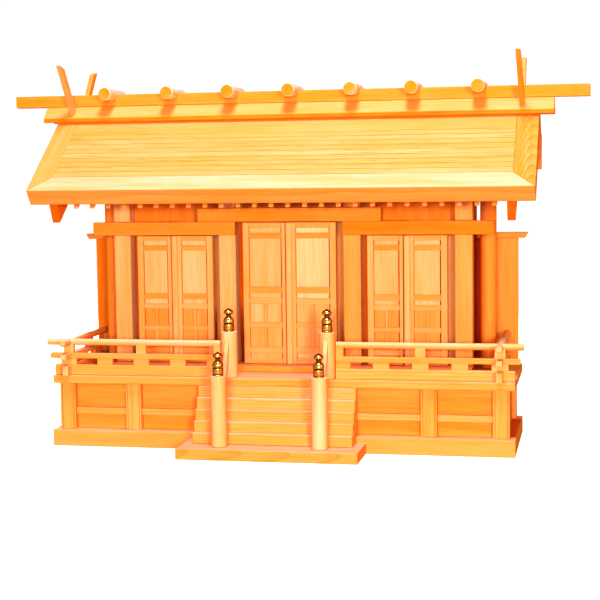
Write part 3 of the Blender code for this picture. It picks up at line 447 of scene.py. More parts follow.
def cypress_figure():
    """Rings, fibres, slow clouds and resin flecks of one board, from its own grain coordinates."""
    name = "Cypress figure"
    if name in bpy.data.node_groups:
        return bpy.data.node_groups[name]
    tree, wire, given, result = new_tree(
        name,
        "ShaderNodeTree",
        (
            ("Grain", "NodeSocketVector", (0.0, 0.0, 0.0)),
            ("Ring Width", "NodeSocketFloat", 0.002),
            ("Wander", "NodeSocketFloat", 0.004),
        ),
        (
            ("Rings", "NodeSocketFloat", None),
            ("Fibres", "NodeSocketFloat", None),
            ("Clouds", "NodeSocketFloat", None),
            ("Flecks", "NodeSocketFloat", None),
            ("Relief", "NodeSocketFloat", None),
        ),
    )
    # The three numbers of a noise say how finely it varies along, across and through the board.
    grain = given.outputs["Grain"]
    from_pith = wire.vector_math("LENGTH", wire.vector_math("MULTIPLY", grain, (0.0, 1.0, 1.0)))
    drift = wire.math("SUBTRACT", wire.noise(grain, (5.0, 14.0, 14.0), 1.5), 0.5)
    wander = wire.math("MULTIPLY", drift, given.outputs["Wander"])
    phase = wire.math("DIVIDE", wire.math("ADD", from_pith, wander), given.outputs["Ring Width"])
    year = wire.math("FRACT", phase)
    rise = wire.math("POWER", year, 3.0)
    late_wood = wire.math("MULTIPLY", rise, wire.smooth_range(year, 1.0, 0.9))
    weather = wire.noise(grain, (1.0, 160.0, 160.0), 1.0)
    rings = wire.math("MULTIPLY", late_wood, wire.math("MULTIPLY", weather, 1.9), True)
    fibres = wire.noise(grain, (26.0, 1300.0, 1300.0), 3.0, 0.6)
    clouds = wire.noise(grain, (7.0, 90.0, 90.0), 2.0)
    flecks = wire.smooth_range(wire.noise(grain, (24.0, 900.0, 900.0), 2.0), 0.62, 0.68)
    relief = wire.math("SUBTRACT", wire.math("MULTIPLY", fibres, 0.6), wire.math("MULTIPLY", rings, 0.4))
    wire.put(result.inputs["Rings"], rings)
    wire.put(result.inputs["Fibres"], fibres)
    wire.put(result.inputs["Clouds"], clouds)
    wire.put(result.inputs["Flecks"], flecks)
    wire.put(result.inputs["Relief"], relief)
    return tree


def new_material(name):
    """A material with a bare Principled shader. Returns it with its wiring and the shader."""
    material = bpy.data.materials.new(name)
    material.use_nodes = True
    return material, Wiring(material.node_tree), material.node_tree.nodes["Principled BSDF"]


def timber_material(name, tone_shift, roughness):
    """Planed, unvarnished cypress. The tone attribute picks a colour between shade and pale."""
    if name in bpy.data.materials:
        return bpy.data.materials[name]
    look = bpy.context.scene.kamidana_timber
    material, wire, shader = new_material(name)
    grain = wire.node("ShaderNodeAttribute", attribute_name="grain").outputs["Vector"]
    tone = wire.node("ShaderNodeAttribute", attribute_name="tone").outputs["Fac"]
    dash = wire.node("ShaderNodeAttribute", attribute_name="dash").outputs["Fac"]
    rings = wire.node("ShaderNodeAttribute", attribute_name="rings").outputs["Fac"]
    figure = wire.node("ShaderNodeGroup", node_tree=cypress_figure())
    wire.put(figure.inputs["Grain"], grain)
    wire.put(figure.inputs["Ring Width"], look.ring_width)
    clouds = wire.around_zero(figure.outputs["Clouds"], CLOUD_STRENGTH)
    streaks = wire.around_zero(figure.outputs["Fibres"], STREAK_STRENGTH)
    share = wire.math("ADD", wire.math("ADD", tone, tone_shift), wire.math("ADD", clouds, streaks))
    plain = (*look.shade, 1.0)
    colours = (look.heartwood_and_painted_shade, look.deep, look.middle, look.pale)
    for colour, from_tone, to_tone in zip(colours, TONE_STEPS, TONE_STEPS[1:]):
        step = wire.node("ShaderNodeMapRange", {"Value": share, "From Min": from_tone, "From Max": to_tone})
        plain = wire.mix_colour(step.outputs[0], plain, (*colour, 1.0))
    dark = wire.math(
        "ADD",
        wire.math("MULTIPLY", figure.outputs["Rings"], rings),
        wire.math("MULTIPLY", figure.outputs["Flecks"], dash),
        True,
    )
    ringed = wire.mix_colour(dark, plain, (*look.line, 1.0))
    wire.put(shader.inputs["Base Color"], ringed)
    gloss = wire.around_zero(figure.outputs["Fibres"], GLOSS_SPREAD)
    wire.put(shader.inputs["Roughness"], wire.math("ADD", gloss, roughness, True))
    relief = {"Strength": RELIEF_STRENGTH, "Distance": RELIEF_HEIGHT, "Height": figure.outputs["Relief"]}
    bump = wire.node("ShaderNodeBump", relief)
    wire.put(shader.inputs["Normal"], bump.outputs[0])
    shader.inputs["Specular IOR Level"].default_value = TIMBER_SPECULAR
    return material


def brass_material():
    """Polished brass with tarnish in the grooves, faint handling smudges and a painted dark rim reflection.
    """
    name = "polished_brass"
    if name in bpy.data.materials:
        return bpy.data.materials[name]
    look = bpy.context.scene.kamidana_brass
    material, wire, shader = new_material(name)
    place = wire.node("ShaderNodeTexCoord").outputs["Object"]
    smudge = wire.noise(place, (420.0, 420.0, 260.0), 3.0)
    depth = wire.node("ShaderNodeAttribute", attribute_name="tone").outputs["Fac"]
    dulled = wire.math("MULTIPLY", smudge, SMUDGE_COLOUR)
    worn = wire.mix_colour(dulled, (*look.bright, 1.0), (*look.smudged, 1.0))
    # Painted dark reflection: the brass turns to the tarnish colour where it turns away from the eye.
    turning = wire.node("ShaderNodeLayerWeight", {"Blend": 0.5}).outputs["Facing"]
    outline = wire.smooth_range(turning, PAINTED_RIM_START, PAINTED_RIM_END)
    dark = wire.math("MAXIMUM", depth, outline)
    wire.put(shader.inputs["Base Color"], wire.mix_colour(dark, worn, (*look.tarnish, 1.0)))
    shader.inputs["Metallic"].default_value = 1.0
    handled = wire.math("MULTIPLY", smudge, SMUDGE_ROUGHNESS)
    rough = wire.math("ADD", handled, look.roughness + SMUDGE_OFFSET)
    tarnished = wire.math("MULTIPLY", depth, TARNISH_ROUGHNESS)
    wire.put(shader.inputs["Roughness"], wire.math("ADD", rough, tarnished, True))
    return material


def cypress():
    return timber_material("planed_cypress", tone_shift=0.0, roughness=0.50)


def pale_cypress():
    return timber_material("pale_planed_cypress", tone_shift=0.14, roughness=0.46)


# Forms


def at_depth(depth):
    """Y of a depth behind the plinth's front face."""
    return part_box("plinth")[0].y + depth


def box_of(node):
    low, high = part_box(node)
    return low.copy(), high.copy()


def prism(outline, axis, low, high):
    """Extrude a closed outline along X, Y or Z. The outline lies in the other two axes, in order."""
    form = bmesh.new()
    step = [0.0, 0.0, 0.0]
    step["XYZ".index(axis)] = high - low
    ring = []
    for first, second in outline:
        point = [first, second]
        point.insert("XYZ".index(axis), low)
        ring.append(form.verts.new(point))
    swept = bmesh.ops.extrude_face_region(form, geom=[form.faces.new(ring)])
    moved = [item for item in swept["geom"] if isinstance(item, bmesh.types.BMVert)]
    bmesh.ops.translate(form, verts=moved, vec=step)
    bmesh.ops.recalc_face_normals(form, faces=form.faces)
    return form


def block(x_range, y_range, z_range):
    low_x, high_x = sorted(x_range)
    low_y, high_y = sorted(y_range)
    outline = ((low_x, low_y), (high_x, low_y), (high_x, high_y), (low_x, high_y))
    return prism(outline, "Z", *sorted(z_range))


def lathe(profile, segments, axis=ALONG_Z, base=(0.0, 0.0, 0.0)):
    """Spin (radius, height) points, which start and end on the axis, then stand them at the base."""
    form = bmesh.new()
    line = [form.verts.new((radius, 0.0, height)) for radius, height in profile]
    for start, end in zip(line, line[1:]):
        form.edges.new((start, end))
    bmesh.ops.spin(
        form,
        geom=list(form.verts) + list(form.edges),
        axis=(0.0, 0.0, 1.0),
        cent=(0.0, 0.0, 0.0),
        steps=segments,
        angle=math.tau,
        use_merge=True,
    )
    bmesh.ops.remove_doubles(form, verts=form.verts, dist=TURNED_WELD)
    turn = ALONG_Z.rotation_difference(Vector(axis)).to_matrix().to_4x4()
    form.transform(Matrix.Translation(Vector(base)) @ turn)
    bmesh.ops.recalc_face_normals(form, faces=form.faces)
    for face in form.faces:
        face.smooth = len(face.verts) == 4
    return form


BAR_SEGMENTS = 32


def round_bar(radius, axis, low, high, centre, chamfer=0.0006):
    """A turned bar along X, Y or Z, whose ends have a small chamfer."""
    length = high - low
    profile = (
        (0.0, 0.0),
        (radius - chamfer, 0.0),
        (radius, chamfer),
        (radius, length - chamfer),
        (radius - chamfer, length),
        (0.0, length),
    )
    base = list(centre)
    base.insert("XYZ".index(axis), low)
    direction = {"X": ALONG_X, "Y": ALONG_Y, "Z": ALONG_Z}[axis]
    return lathe(profile, BAR_SEGMENTS, direction, base)


def copy_of(node):
    """A merged copy of a node's mesh, with its flat faces whole again."""
    form = bmesh.new()
    form.from_mesh(frame["nodes"][node].data)
    for layer in list(form.loops.layers.uv.values()):
        form.loops.layers.uv.remove(layer)
    bmesh.ops.remove_doubles(form, verts=form.verts, dist=COPY_WELD)
    bmesh.ops.dissolve_limit(form, angle_limit=math.radians(1.0), verts=form.verts, edges=form.edges)
    return form


def soften_edges(form, width):
    """A narrow chamfer along every planed edge."""
    edges = [edge for edge in form.edges if edge.is_manifold and edge.calc_face_angle(0.0) > PLANED_ANGLE]
    if width > 0.0 and edges:
        bmesh.ops.bevel(
            form,
            geom=edges,
            offset=width,
            offset_type="OFFSET",
            segments=1,
            profile=0.5,
            affect="EDGES",
            clamp_overlap=True,
        )


# Members and pieces


def make_piece(name, mesh, material, nodes, body="shrine"):
    """Make a visible piece, which rides on a body and stands for the CAD nodes."""
    piece = bpy.data.objects.new(name, mesh)
    bpy.context.scene.collection.objects.link(piece)
    piece.data.materials.append(material)
    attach(piece, body)
    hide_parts(*nodes)


# Where the middle of the tree lies from a board's middle, as a range across the board and one through it,
# and whether it lies well to one side.
CUTS = {
    "flat": ((-0.012, 0.012), (0.030, 0.060), False),
    "arched": ((-0.006, 0.006), (0.016, 0.022), False),
    "quarter": ((0.07, 0.13), (-0.02, 0.02), True),
    "rift": ((0.03, 0.07), (0.03, 0.07), True),
}


class Timber:
    """Members that make up one piece, each with its own grain direction, cut and tone."""

    def __init__(self, name):
        self.name = name
        self.chance = random.Random(name)
        self.points = []
        self.grain = []
        self.faces = []
        self.smooth = []
        self.tone = []
        self.dash = []
        self.rings = []

    def pith(self, cut):
        """Where the middle of the tree lies from a board's middle, across it and through it."""
        side = self.chance.choice((-1.0, 1.0))
        start = self.chance.uniform(-4.0, 4.0)
        across_range, through_range, beside = CUTS[cut]
        across = self.chance.uniform(*across_range) * (side if beside else 1.0)
        return Vector((start, across, self.chance.uniform(*through_range)))

    def add(self, form, along, face, tone=0.4, cut="rift", soften=None, lift=0.25, **details):
        """Take in a member, whose board face looks towards face and whose grain runs along.

        Faces that look up are paler by lift, which is painted light from above, or painted shade where it
        is below 0. The details are end_drop, by which the sawn ends are deeper; side_drop and front_drop,
        by which the sides and the front are deeper as painted shade, or paler as painted light where below
        0; dash and rings, how strongly those show; and heart_side and slant, which move and tilt the middle
        of the tree, so that rings show as arches.
        """
        look = bpy.context.scene.kamidana_timber
        soften_edges(form, look.soften if soften is None else soften)
        form.normal_update()
        form.verts.index_update()
        along = Vector(along).normalized()
        across = Vector(face).cross(along).normalized()
        through = along.cross(across)
        middle = sum((vertex.co for vertex in form.verts), Vector()) / len(form.verts)
        pith = self.pith(cut)
        pith.y += details.get("heart_side", 0.0)
        slant = details.get("slant", 0.0)
        end_drop = details.get("end_drop", END_GRAIN_DROP)
        side_drop = details.get("side_drop", SIDE_PAINTED_SHADE * (1.0 - abs(Vector(face).x)))
        board_tone = tone + self.chance.uniform(-look.tone_spread, look.tone_spread)
        first = len(self.points)
        for vertex in form.verts:
            local = vertex.co - middle
            self.points.append(vertex.co.copy())
            depth = local.dot(through) + slant * local.dot(along)
            self.grain.append(pith + Vector((local.dot(along), local.dot(across), depth)))
        for side in form.faces:
            self.faces.append([first + vertex.index for vertex in side.verts])
            self.smooth.append(side.smooth)
            self.dash.append(details.get("dash", PLAIN_DASH))
            self.rings.append(details.get("rings", PLAIN_RINGS))
            # Sawn ends keep their deeper end grain; sides and fronts get painted shade (painted light where
            # set below 0), and faces that look up get painted light (painted shade where set below 0).
            drop = end_drop if abs(side.normal.dot(along)) > 0.8 else side_drop * side.normal.x ** 2
            if side.normal.y < -0.6 and side.normal.z < 0.2:
                drop += details.get("front_drop", 0.0)
            self.tone.append(board_tone + lift * max(0.0, side.normal.z) - drop)
        form.free()
        return self

    def mesh(self):
        made = bpy.data.meshes.new(self.name)
        made.from_pydata(self.points, [], self.faces)
        grain = made.attributes.new("grain", "FLOAT_VECTOR", "POINT")
        grain.data.foreach_set("vector", [value for point in self.grain for value in point])
        for label, values in (("tone", self.tone), ("dash", self.dash), ("rings", self.rings)):
            made.attributes.new(label, "FLOAT", "FACE").data.foreach_set("value", values)
        made.polygons.foreach_set("use_smooth", self.smooth)
        made.set_sharp_from_angle(angle=SHARP_ANGLE)
        return made

    def take_mesh(self, mesh):
        """Take in every member of a baked mesh, which is then removed."""
        first = len(self.points)
        self.points += [vertex.co.copy() for vertex in mesh.vertices]
        self.grain += [Vector(item.vector) for item in mesh.attributes["grain"].data]
        self.faces += [[first + corner for corner in face.vertices] for face in mesh.polygons]
        self.smooth += [face.use_smooth for face in mesh.polygons]
        self.tone += [item.value for item in mesh.attributes["tone"].data]
        self.dash += [item.value for item in mesh.attributes["dash"].data]
        self.rings += [item.value for item in mesh.attributes["rings"].data]
        bpy.data.meshes.remove(mesh)

    def add_row(self, form, along, face, count, spacing, **finish):
        """Repeat one member at even steps."""
        member = Timber(self.name + "_member").add(form, along, face, **finish)
        self.take_mesh(baked_row(member.mesh(), count=count, spacing=spacing))

    def add_at(self, form, along, face, places, **finish):
        """Repeat one member at the given places."""
        member = Timber(self.name + "_member").add(form, along, face, **finish)
        self.take_mesh(baked_row(member.mesh(), places=places))

    def finish(self, material, slot, nodes, body="shrine"):
        make_piece(self.name, self.mesh(), material, nodes, body)


def row_tree(irregular):
    """Copies of the member on a straight row or on the points of an object, each with its own grain."""
    name = "Members at places" if irregular else "Row of members"
    if name in bpy.data.node_groups:
        return bpy.data.node_groups[name]
    if irregular:
        layout = (("Places", "NodeSocketObject", None),)
    else:
        layout = (("Count", "NodeSocketInt", 2), ("Spacing", "NodeSocketVector", (0.02, 0.0, 0.0)))
    tree, wire, given, result = new_tree(
        name,
        "GeometryNodeTree",
        (("Member", "NodeSocketGeometry", None),)
        + layout
        + (
            ("Tone Spread", "NodeSocketFloat", 0.07),
            ("Seed", "NodeSocketInt", 7),
            ("Timber", "NodeSocketMaterial", None),
        ),
        (("Members", "NodeSocketGeometry", None),),
    )
    if irregular:
        marks = wire.node("GeometryNodeObjectInfo", {"Object": given.outputs["Places"]})
        points = marks.outputs["Geometry"]
    else:
        line = wire.node(
            "GeometryNodeMeshLine",
            {"Count": given.outputs["Count"], "Offset": given.outputs["Spacing"]},
            mode="OFFSET",
        )
        points = line.outputs[0]
    shift = wire.node(
        "FunctionNodeRandomValue",
        {0: (-2.0, -0.02, -0.02), 1: (2.0, 0.02, 0.02), "Seed": given.outputs["Seed"]},
        data_type="FLOAT_VECTOR",
    )
    spread = given.outputs["Tone Spread"]
    change = wire.node(
        "FunctionNodeRandomValue",
        {2: wire.math("MULTIPLY", spread, -1.0), 3: spread, "Seed": given.outputs["Seed"]},
        data_type="FLOAT",
    )
    for label, kind, value in (
        ("grain_shift", "FLOAT_VECTOR", shift.outputs[0]),
        ("tone_shift", "FLOAT", change.outputs[1]),
    ):
        stored = wire.node(
            "GeometryNodeStoreNamedAttribute",
            {"Geometry": points, "Name": label, "Value": value},
            data_type=kind,
            domain="POINT",
        )
        points = stored.outputs[0]
    copies = wire.node(
        "GeometryNodeInstanceOnPoints",
        {"Points": points, "Instance": given.outputs["Member"]},
    )
    shape = wire.node("GeometryNodeRealizeInstances", {"Geometry": copies.outputs[0]}).outputs[0]
    for label, kind, domain in (("grain", "FLOAT_VECTOR", "POINT"), ("tone", "FLOAT", "FACE")):
        own = wire.node("GeometryNodeInputNamedAttribute", {"Name": label}, data_type=kind)
        moved = wire.node("GeometryNodeInputNamedAttribute", {"Name": label + "_shift"}, data_type=kind)
        if kind == "FLOAT":
            total = wire.math("ADD", own.outputs[0], moved.outputs[0])
        else:
            total = wire.vector_math("ADD", own.outputs[0], moved.outputs[0])
        stored = wire.node(
            "GeometryNodeStoreNamedAttribute",
            {"Geometry": shape, "Name": label, "Value": total},
            data_type=kind,
            domain=domain,
        )
        shape = stored.outputs[0]
    coated = wire.node(
        "GeometryNodeSetMaterial",
        {"Geometry": shape, "Material": given.outputs["Timber"]},
    )
    wire.put(result.inputs["Members"], coated.outputs[0])
    return tree


def baked_row(member, count=0, spacing=(0.0, 0.0, 0.0), places=None):
    """Run the row tree on a member's mesh and return the plain mesh."""
    look = bpy.context.scene.kamidana_timber
    linked = bpy.context.scene.collection.objects
    host = bpy.data.objects.new("row_host", member)
    linked.link(host)
    values = {"Tone Spread": look.tone_spread, "Seed": 7, "Timber": cypress()}
    helper = None
    if places is None:
        values.update({"Count": count, "Spacing": tuple(spacing)})
    else:
        marks = bpy.data.meshes.new("row_places")
        marks.from_pydata([tuple(place) for place in places], [], [])
        helper = bpy.data.objects.new("row_places", marks)
        linked.link(helper)
        values["Places"] = helper
    row = host.modifiers.new("row", "NODES")
    row.node_group = row_tree(places is not None)
    for item in row.node_group.interface.items_tree:
        if item.item_type == "SOCKET" and item.in_out == "INPUT" and item.name in values:
            row[item.identifier] = values[item.name]
    bpy.context.view_layer.update()
    depsgraph = bpy.context.evaluated_depsgraph_get()
    baked = bpy.data.meshes.new_from_object(host.evaluated_get(depsgraph))
    host.modifiers.remove(row)
    bpy.data.objects.remove(host)
    bpy.data.meshes.remove(member)
    if helper is not None:
        marks = helper.data
        bpy.data.objects.remove(helper)
        bpy.data.meshes.remove(marks)
    return baked


def sides():
    """The two sides of the shrine and their direction along X."""
    return (("left", -1.0), ("right", 1.0))


# Base


def build_plinth():
    """Four boards around the base, the side ones between the long ones."""
    low, high = box_of("plinth")
    inner_x = high.x - PLINTH_BOARD
    front = (low.y, low.y + PLINTH_BOARD)
    back = (high.y - PLINTH_BOARD, high.y)
    heights = (low.z, high.z)
    plinth = Timber("plinth_boards")
    for depths in (front, back):
        plinth.add(block((low.x, high.x), depths, heights), ALONG_X, FACES_FRONT, tone=0.34, cut="rift")
    for _, sign in sides():
        span = (sign * inner_x, sign * high.x)
        between = (front[1] + HAIRLINE, back[0] - HAIRLINE)
        # The side boards' tops are darker: painted shade.
        plinth.add(block(span, between, heights), ALONG_Y, FACES_SIDE, tone=0.12, lift=-0.60)
    plinth.finish(cypress(), "cypress", ["plinth"])


def grooved_outline(x_low, x_high, back):
    """Plan of a post that stands out of the wall, with a narrow groove along both front edges."""
    front = at_depth(POST_FRONT)
    bottom = front + GROOVE_DEPTH
    return (
        (x_low, back),
        (x_low, front),
        (x_low + GROOVE_START, front),
        (x_low + GROOVE_START, bottom),
        (x_low + GROOVE_END, bottom),
        (x_low + GROOVE_END, front),
        (x_high - GROOVE_END, front),
        (x_high - GROOVE_END, bottom),
        (x_high - GROOVE_START, bottom),
        (x_high - GROOVE_START, front),
        (x_high, front),
        (x_high, back),
    )


def build_lower_storey():
    """Posts, and between them a tie rail with a wall board above and below it."""
    low, high = box_of("lower_storey")
    heights = (low.z, high.z)
    storey = Timber("lower_storey_joinery")
    wall_front = at_depth(STOREY_WALL_FRONT)
    wall_back = wall_front + STOREY_WALL
    half_post = POST_WIDTH / 2
    corner_inner = CORNER_OUTER - POST_WIDTH
    post_back = at_depth(POST_FRONT + POST_WIDTH)
    for _, sign in sides():
        middle = sign * MIDDLE_POST_X
        outline = grooved_outline(middle - half_post, middle + half_post, wall_back)
        tone = 0.46 - 0.05 * sign
        storey.add(prism(outline, "Z", *heights), ALONG_Z, FACES_FRONT, tone, "flat", soften=0.0002)
        edges = sorted((sign * corner_inner, sign * CORNER_OUTER))
        outline = grooved_outline(edges[0], edges[1], post_back)
        tone = 0.41 - 0.05 * sign
        storey.add(prism(outline, "Z", *heights), ALONG_Z, FACES_FRONT, tone, "quarter", soften=0.0002)
        rear = (at_depth(STOREY_BACK - POST_WIDTH), at_depth(STOREY_BACK))
        storey.add(block(edges, rear, heights), ALONG_Z, FACES_SIDE, tone=0.55)
    spans = (
        (-corner_inner, half_post - MIDDLE_POST_X - POST_WIDTH),
        (half_post - MIDDLE_POST_X, MIDDLE_POST_X - half_post),
        (MIDDLE_POST_X + half_post, corner_inner),
    )
    upper = (TIE_HIGH + HAIRLINE, high.z)
    tie = (TIE_LOW, TIE_HIGH)
    lower = (low.z, TIE_LOW - HAIRLINE)
    for start, end in spans:
        inside = (start + HAIRLINE, end - HAIRLINE)
        for levels, front, tone, cut in (
            (upper, wall_front, 0.24, "flat"),
            (tie, wall_front - TIE_PROUD, 0.50, "rift"),
            (lower, wall_front, 0.22, "rift"),
        ):
            storey.add(block(inside, (front, wall_back), levels), ALONG_X, FACES_FRONT, tone, cut)
    between = (post_back + HAIRLINE, at_depth(STOREY_BACK - POST_WIDTH) - HAIRLINE)
    for _, sign in sides():
        thick = (sign * (STOREY_WALL_SIDE - STOREY_WALL), sign * STOREY_WALL_SIDE)
        for levels, tone in ((upper, 0.0), (tie, 0.15), (lower, 0.0)):
            storey.add(block(thick, between, levels), ALONG_Y, FACES_SIDE, tone)
    rear_span = (HAIRLINE - corner_inner, corner_inner - HAIRLINE)
    rear_depths = (at_depth(STOREY_BACK - STOREY_WALL), at_depth(STOREY_BACK))
    storey.add(block(rear_span, rear_depths, heights), ALONG_X, FACES_FRONT, tone=0.30, cut="flat")
    storey.finish(cypress(), "cypress", ["lower_storey"])


def whole_board(node, along, face, tone, cut="rift", material=cypress, slot="cypress", **finish):
    """One board or post in the shape of its CAD node, with softened edges and its own grain."""
    piece = Timber(node + "_board")
    piece.add(copy_of(node), along, face, tone=tone, cut=cut, **finish)
    piece.finish(material(), slot, [node])


def pale_board(node, along, face, tone, **finish):
    """A whole board of the paler timber, quarter sawn, so that its lines run straight."""
    finish.update(cut="quarter", material=pale_cypress, slot="pale_cypress")
    whole_board(node, along, face, tone, **finish)


def build_floors():
    whole_board("deck", ALONG_X, FACES_UP, 0.42)
    whole_board("hall_floor", ALONG_X, FACES_UP, 0.22)


def build_stair():
    """The board under the stair, and its steps, which lie one on the other."""
    whole_board("stair_base", ALONG_X, FACES_FRONT, 0.38, cut="arched", lift=0.40, slant=0.035, rings=0.55)
    low, high = box_of("stair")
    rise = (high.z - low.z) / STEP_COUNT
    stair = Timber("stair_steps")
    for number in range(STEP_COUNT):
        front = at_depth(TOP_STEP_FRONT - number * STEP_GOING)
        top = high.z - number * rise
        back = high.y if number < STEP_COUNT - 1 else at_depth(-FIT_GAP)
        form = block((low.x, high.x), (front, back), (top - rise + HAIRLINE, top))
        stair.add(form, ALONG_X, FACES_FRONT, tone=0.40, cut="rift", lift=0.40)
    stair.finish(cypress(), "cypress", ["stair"])


NEWEL_TONES = {"front_left": 0.64, "front_right": 0.70, "upper_left": 0.72, "upper_right": 0.46}
HANDRAIL_SLOPE = Vector((0.0, 1.0, math.tan(math.radians(66.0))))


def build_newels():
    """Round posts beside the stair, and the sloping handrails between them."""
    for place, tone in NEWEL_TONES.items():
        low, high = box_of("newel_" + place)
        centre = ((low.x + high.x) / 2, (low.y + high.y) / 2)
        newel = Timber("newel_post_" + place)
        form = round_bar((high.x - low.x) / 2, "Z", low.z, high.z, centre)
        newel.add(form, ALONG_Z, FACES_FRONT, tone=tone, cut="quarter", soften=0.0)
        newel.finish(pale_cypress(), "pale_cypress", ["newel_" + place])
    for side, _ in sides():
        pale_board("handrail_" + side, HANDRAIL_SLOPE, FACES_SIDE, 0.46)


# Brass caps

CAP_STEPS = 3
CAP_SEGMENTS = 48

# Radius and height as shares, and how deep in tarnish each ring of the cap lies.
CAP_PROFILE = (
    (0.970, 0.000, 0.3),
    (1.000, 0.012, 0.2),
    (1.000, 0.045, 0.0),
    (0.930, 0.056, 0.9),
    (0.930, 0.070, 0.9),
    (0.990, 0.082, 0.0),
    (1.000, 0.180, 0.0),
    (1.000, 0.285, 0.0),
    (0.960, 0.310, 0.3),
    (0.840, 0.325, 1.0),
    (0.830, 0.345, 1.0),
    (0.960, 0.362, 0.3),
    (1.000, 0.385, 0.0),
    (1.000, 0.430, 0.0),
    (0.970, 0.485, 0.0),
    (0.880, 0.545, 0.0),
    (0.720, 0.590, 0.2),
    (0.540, 0.622, 0.4),
    (0.460, 0.648, 1.0),
    (0.420, 0.675, 0.6),
    (0.450, 0.705, 1.0),
    (0.500, 0.732, 0.3),
    (0.740, 0.765, 0.0),
    (0.880, 0.800, 0.0),
    (0.905, 0.835, 0.0),
    (0.840, 0.875, 0.0),
    (0.660, 0.920, 0.0),
    (0.420, 0.955, 0.0),
    (0.200, 0.982, 0.0),
    (0.080, 0.996, 0.0),
)


def rounded_profile(rows, steps):
    """Points on a smooth curve that passes through every row, with the values of a row blended alike."""
    result = []
    for number in range(len(rows) - 1):
        before = Vector(rows[max(number - 1, 0)])
        start = Vector(rows[number])
        end = Vector(rows[number + 1])
        after = Vector(rows[min(number + 2, len(rows) - 1)])
        slope = end - before
        bend = 2.0 * before - 5.0 * start + 4.0 * end - after
        twist = 3.0 * start - before - 3.0 * end + after
        for step in range(steps):
            t = step / steps
            result.append(0.5 * (2.0 * start + slope * t + bend * t * t + twist * t * t * t))
    result.append(Vector(rows[-1]))
    return result


def build_brass_caps():
    """Four onion-shaped caps, turned from one profile."""
    for place in NEWEL_TONES:
        node = "giboshi_" + place
        low, high = box_of(node)
        radius = (high.x - low.x) / 2
        height = high.z - low.z
        middle = Vector(((low.x + high.x) / 2, (low.y + high.y) / 2, low.z))
        line = rounded_profile(CAP_PROFILE, CAP_STEPS)
        profile = [(0.0, 0.0)]
        profile += [(min(row[0], 1.0) * radius, max(row[1], 0.0) * height) for row in line]
        profile.append((0.0, height))
        form = lathe(profile, CAP_SEGMENTS, ALONG_Z, middle)
        cap = bpy.data.meshes.new("brass_cap_" + place)
        for face in form.faces:
            face.smooth = True
        form.to_mesh(cap)
        form.free()
        tone = cap.attributes.new("tone", "FLOAT", "POINT")
        levels = [(row[1] * height, row[2]) for row in line]
        depths = []
        for vertex in cap.vertices:
            nearest = min(levels, key=lambda level: abs(level[0] - (vertex.co.z - low.z)))
            depths.append(min(max(nearest[1], 0.0), 1.0))
        tone.data.foreach_set("value", depths)
        make_piece("brass_cap_" + place, cap, brass_material(), [node])


# Railing


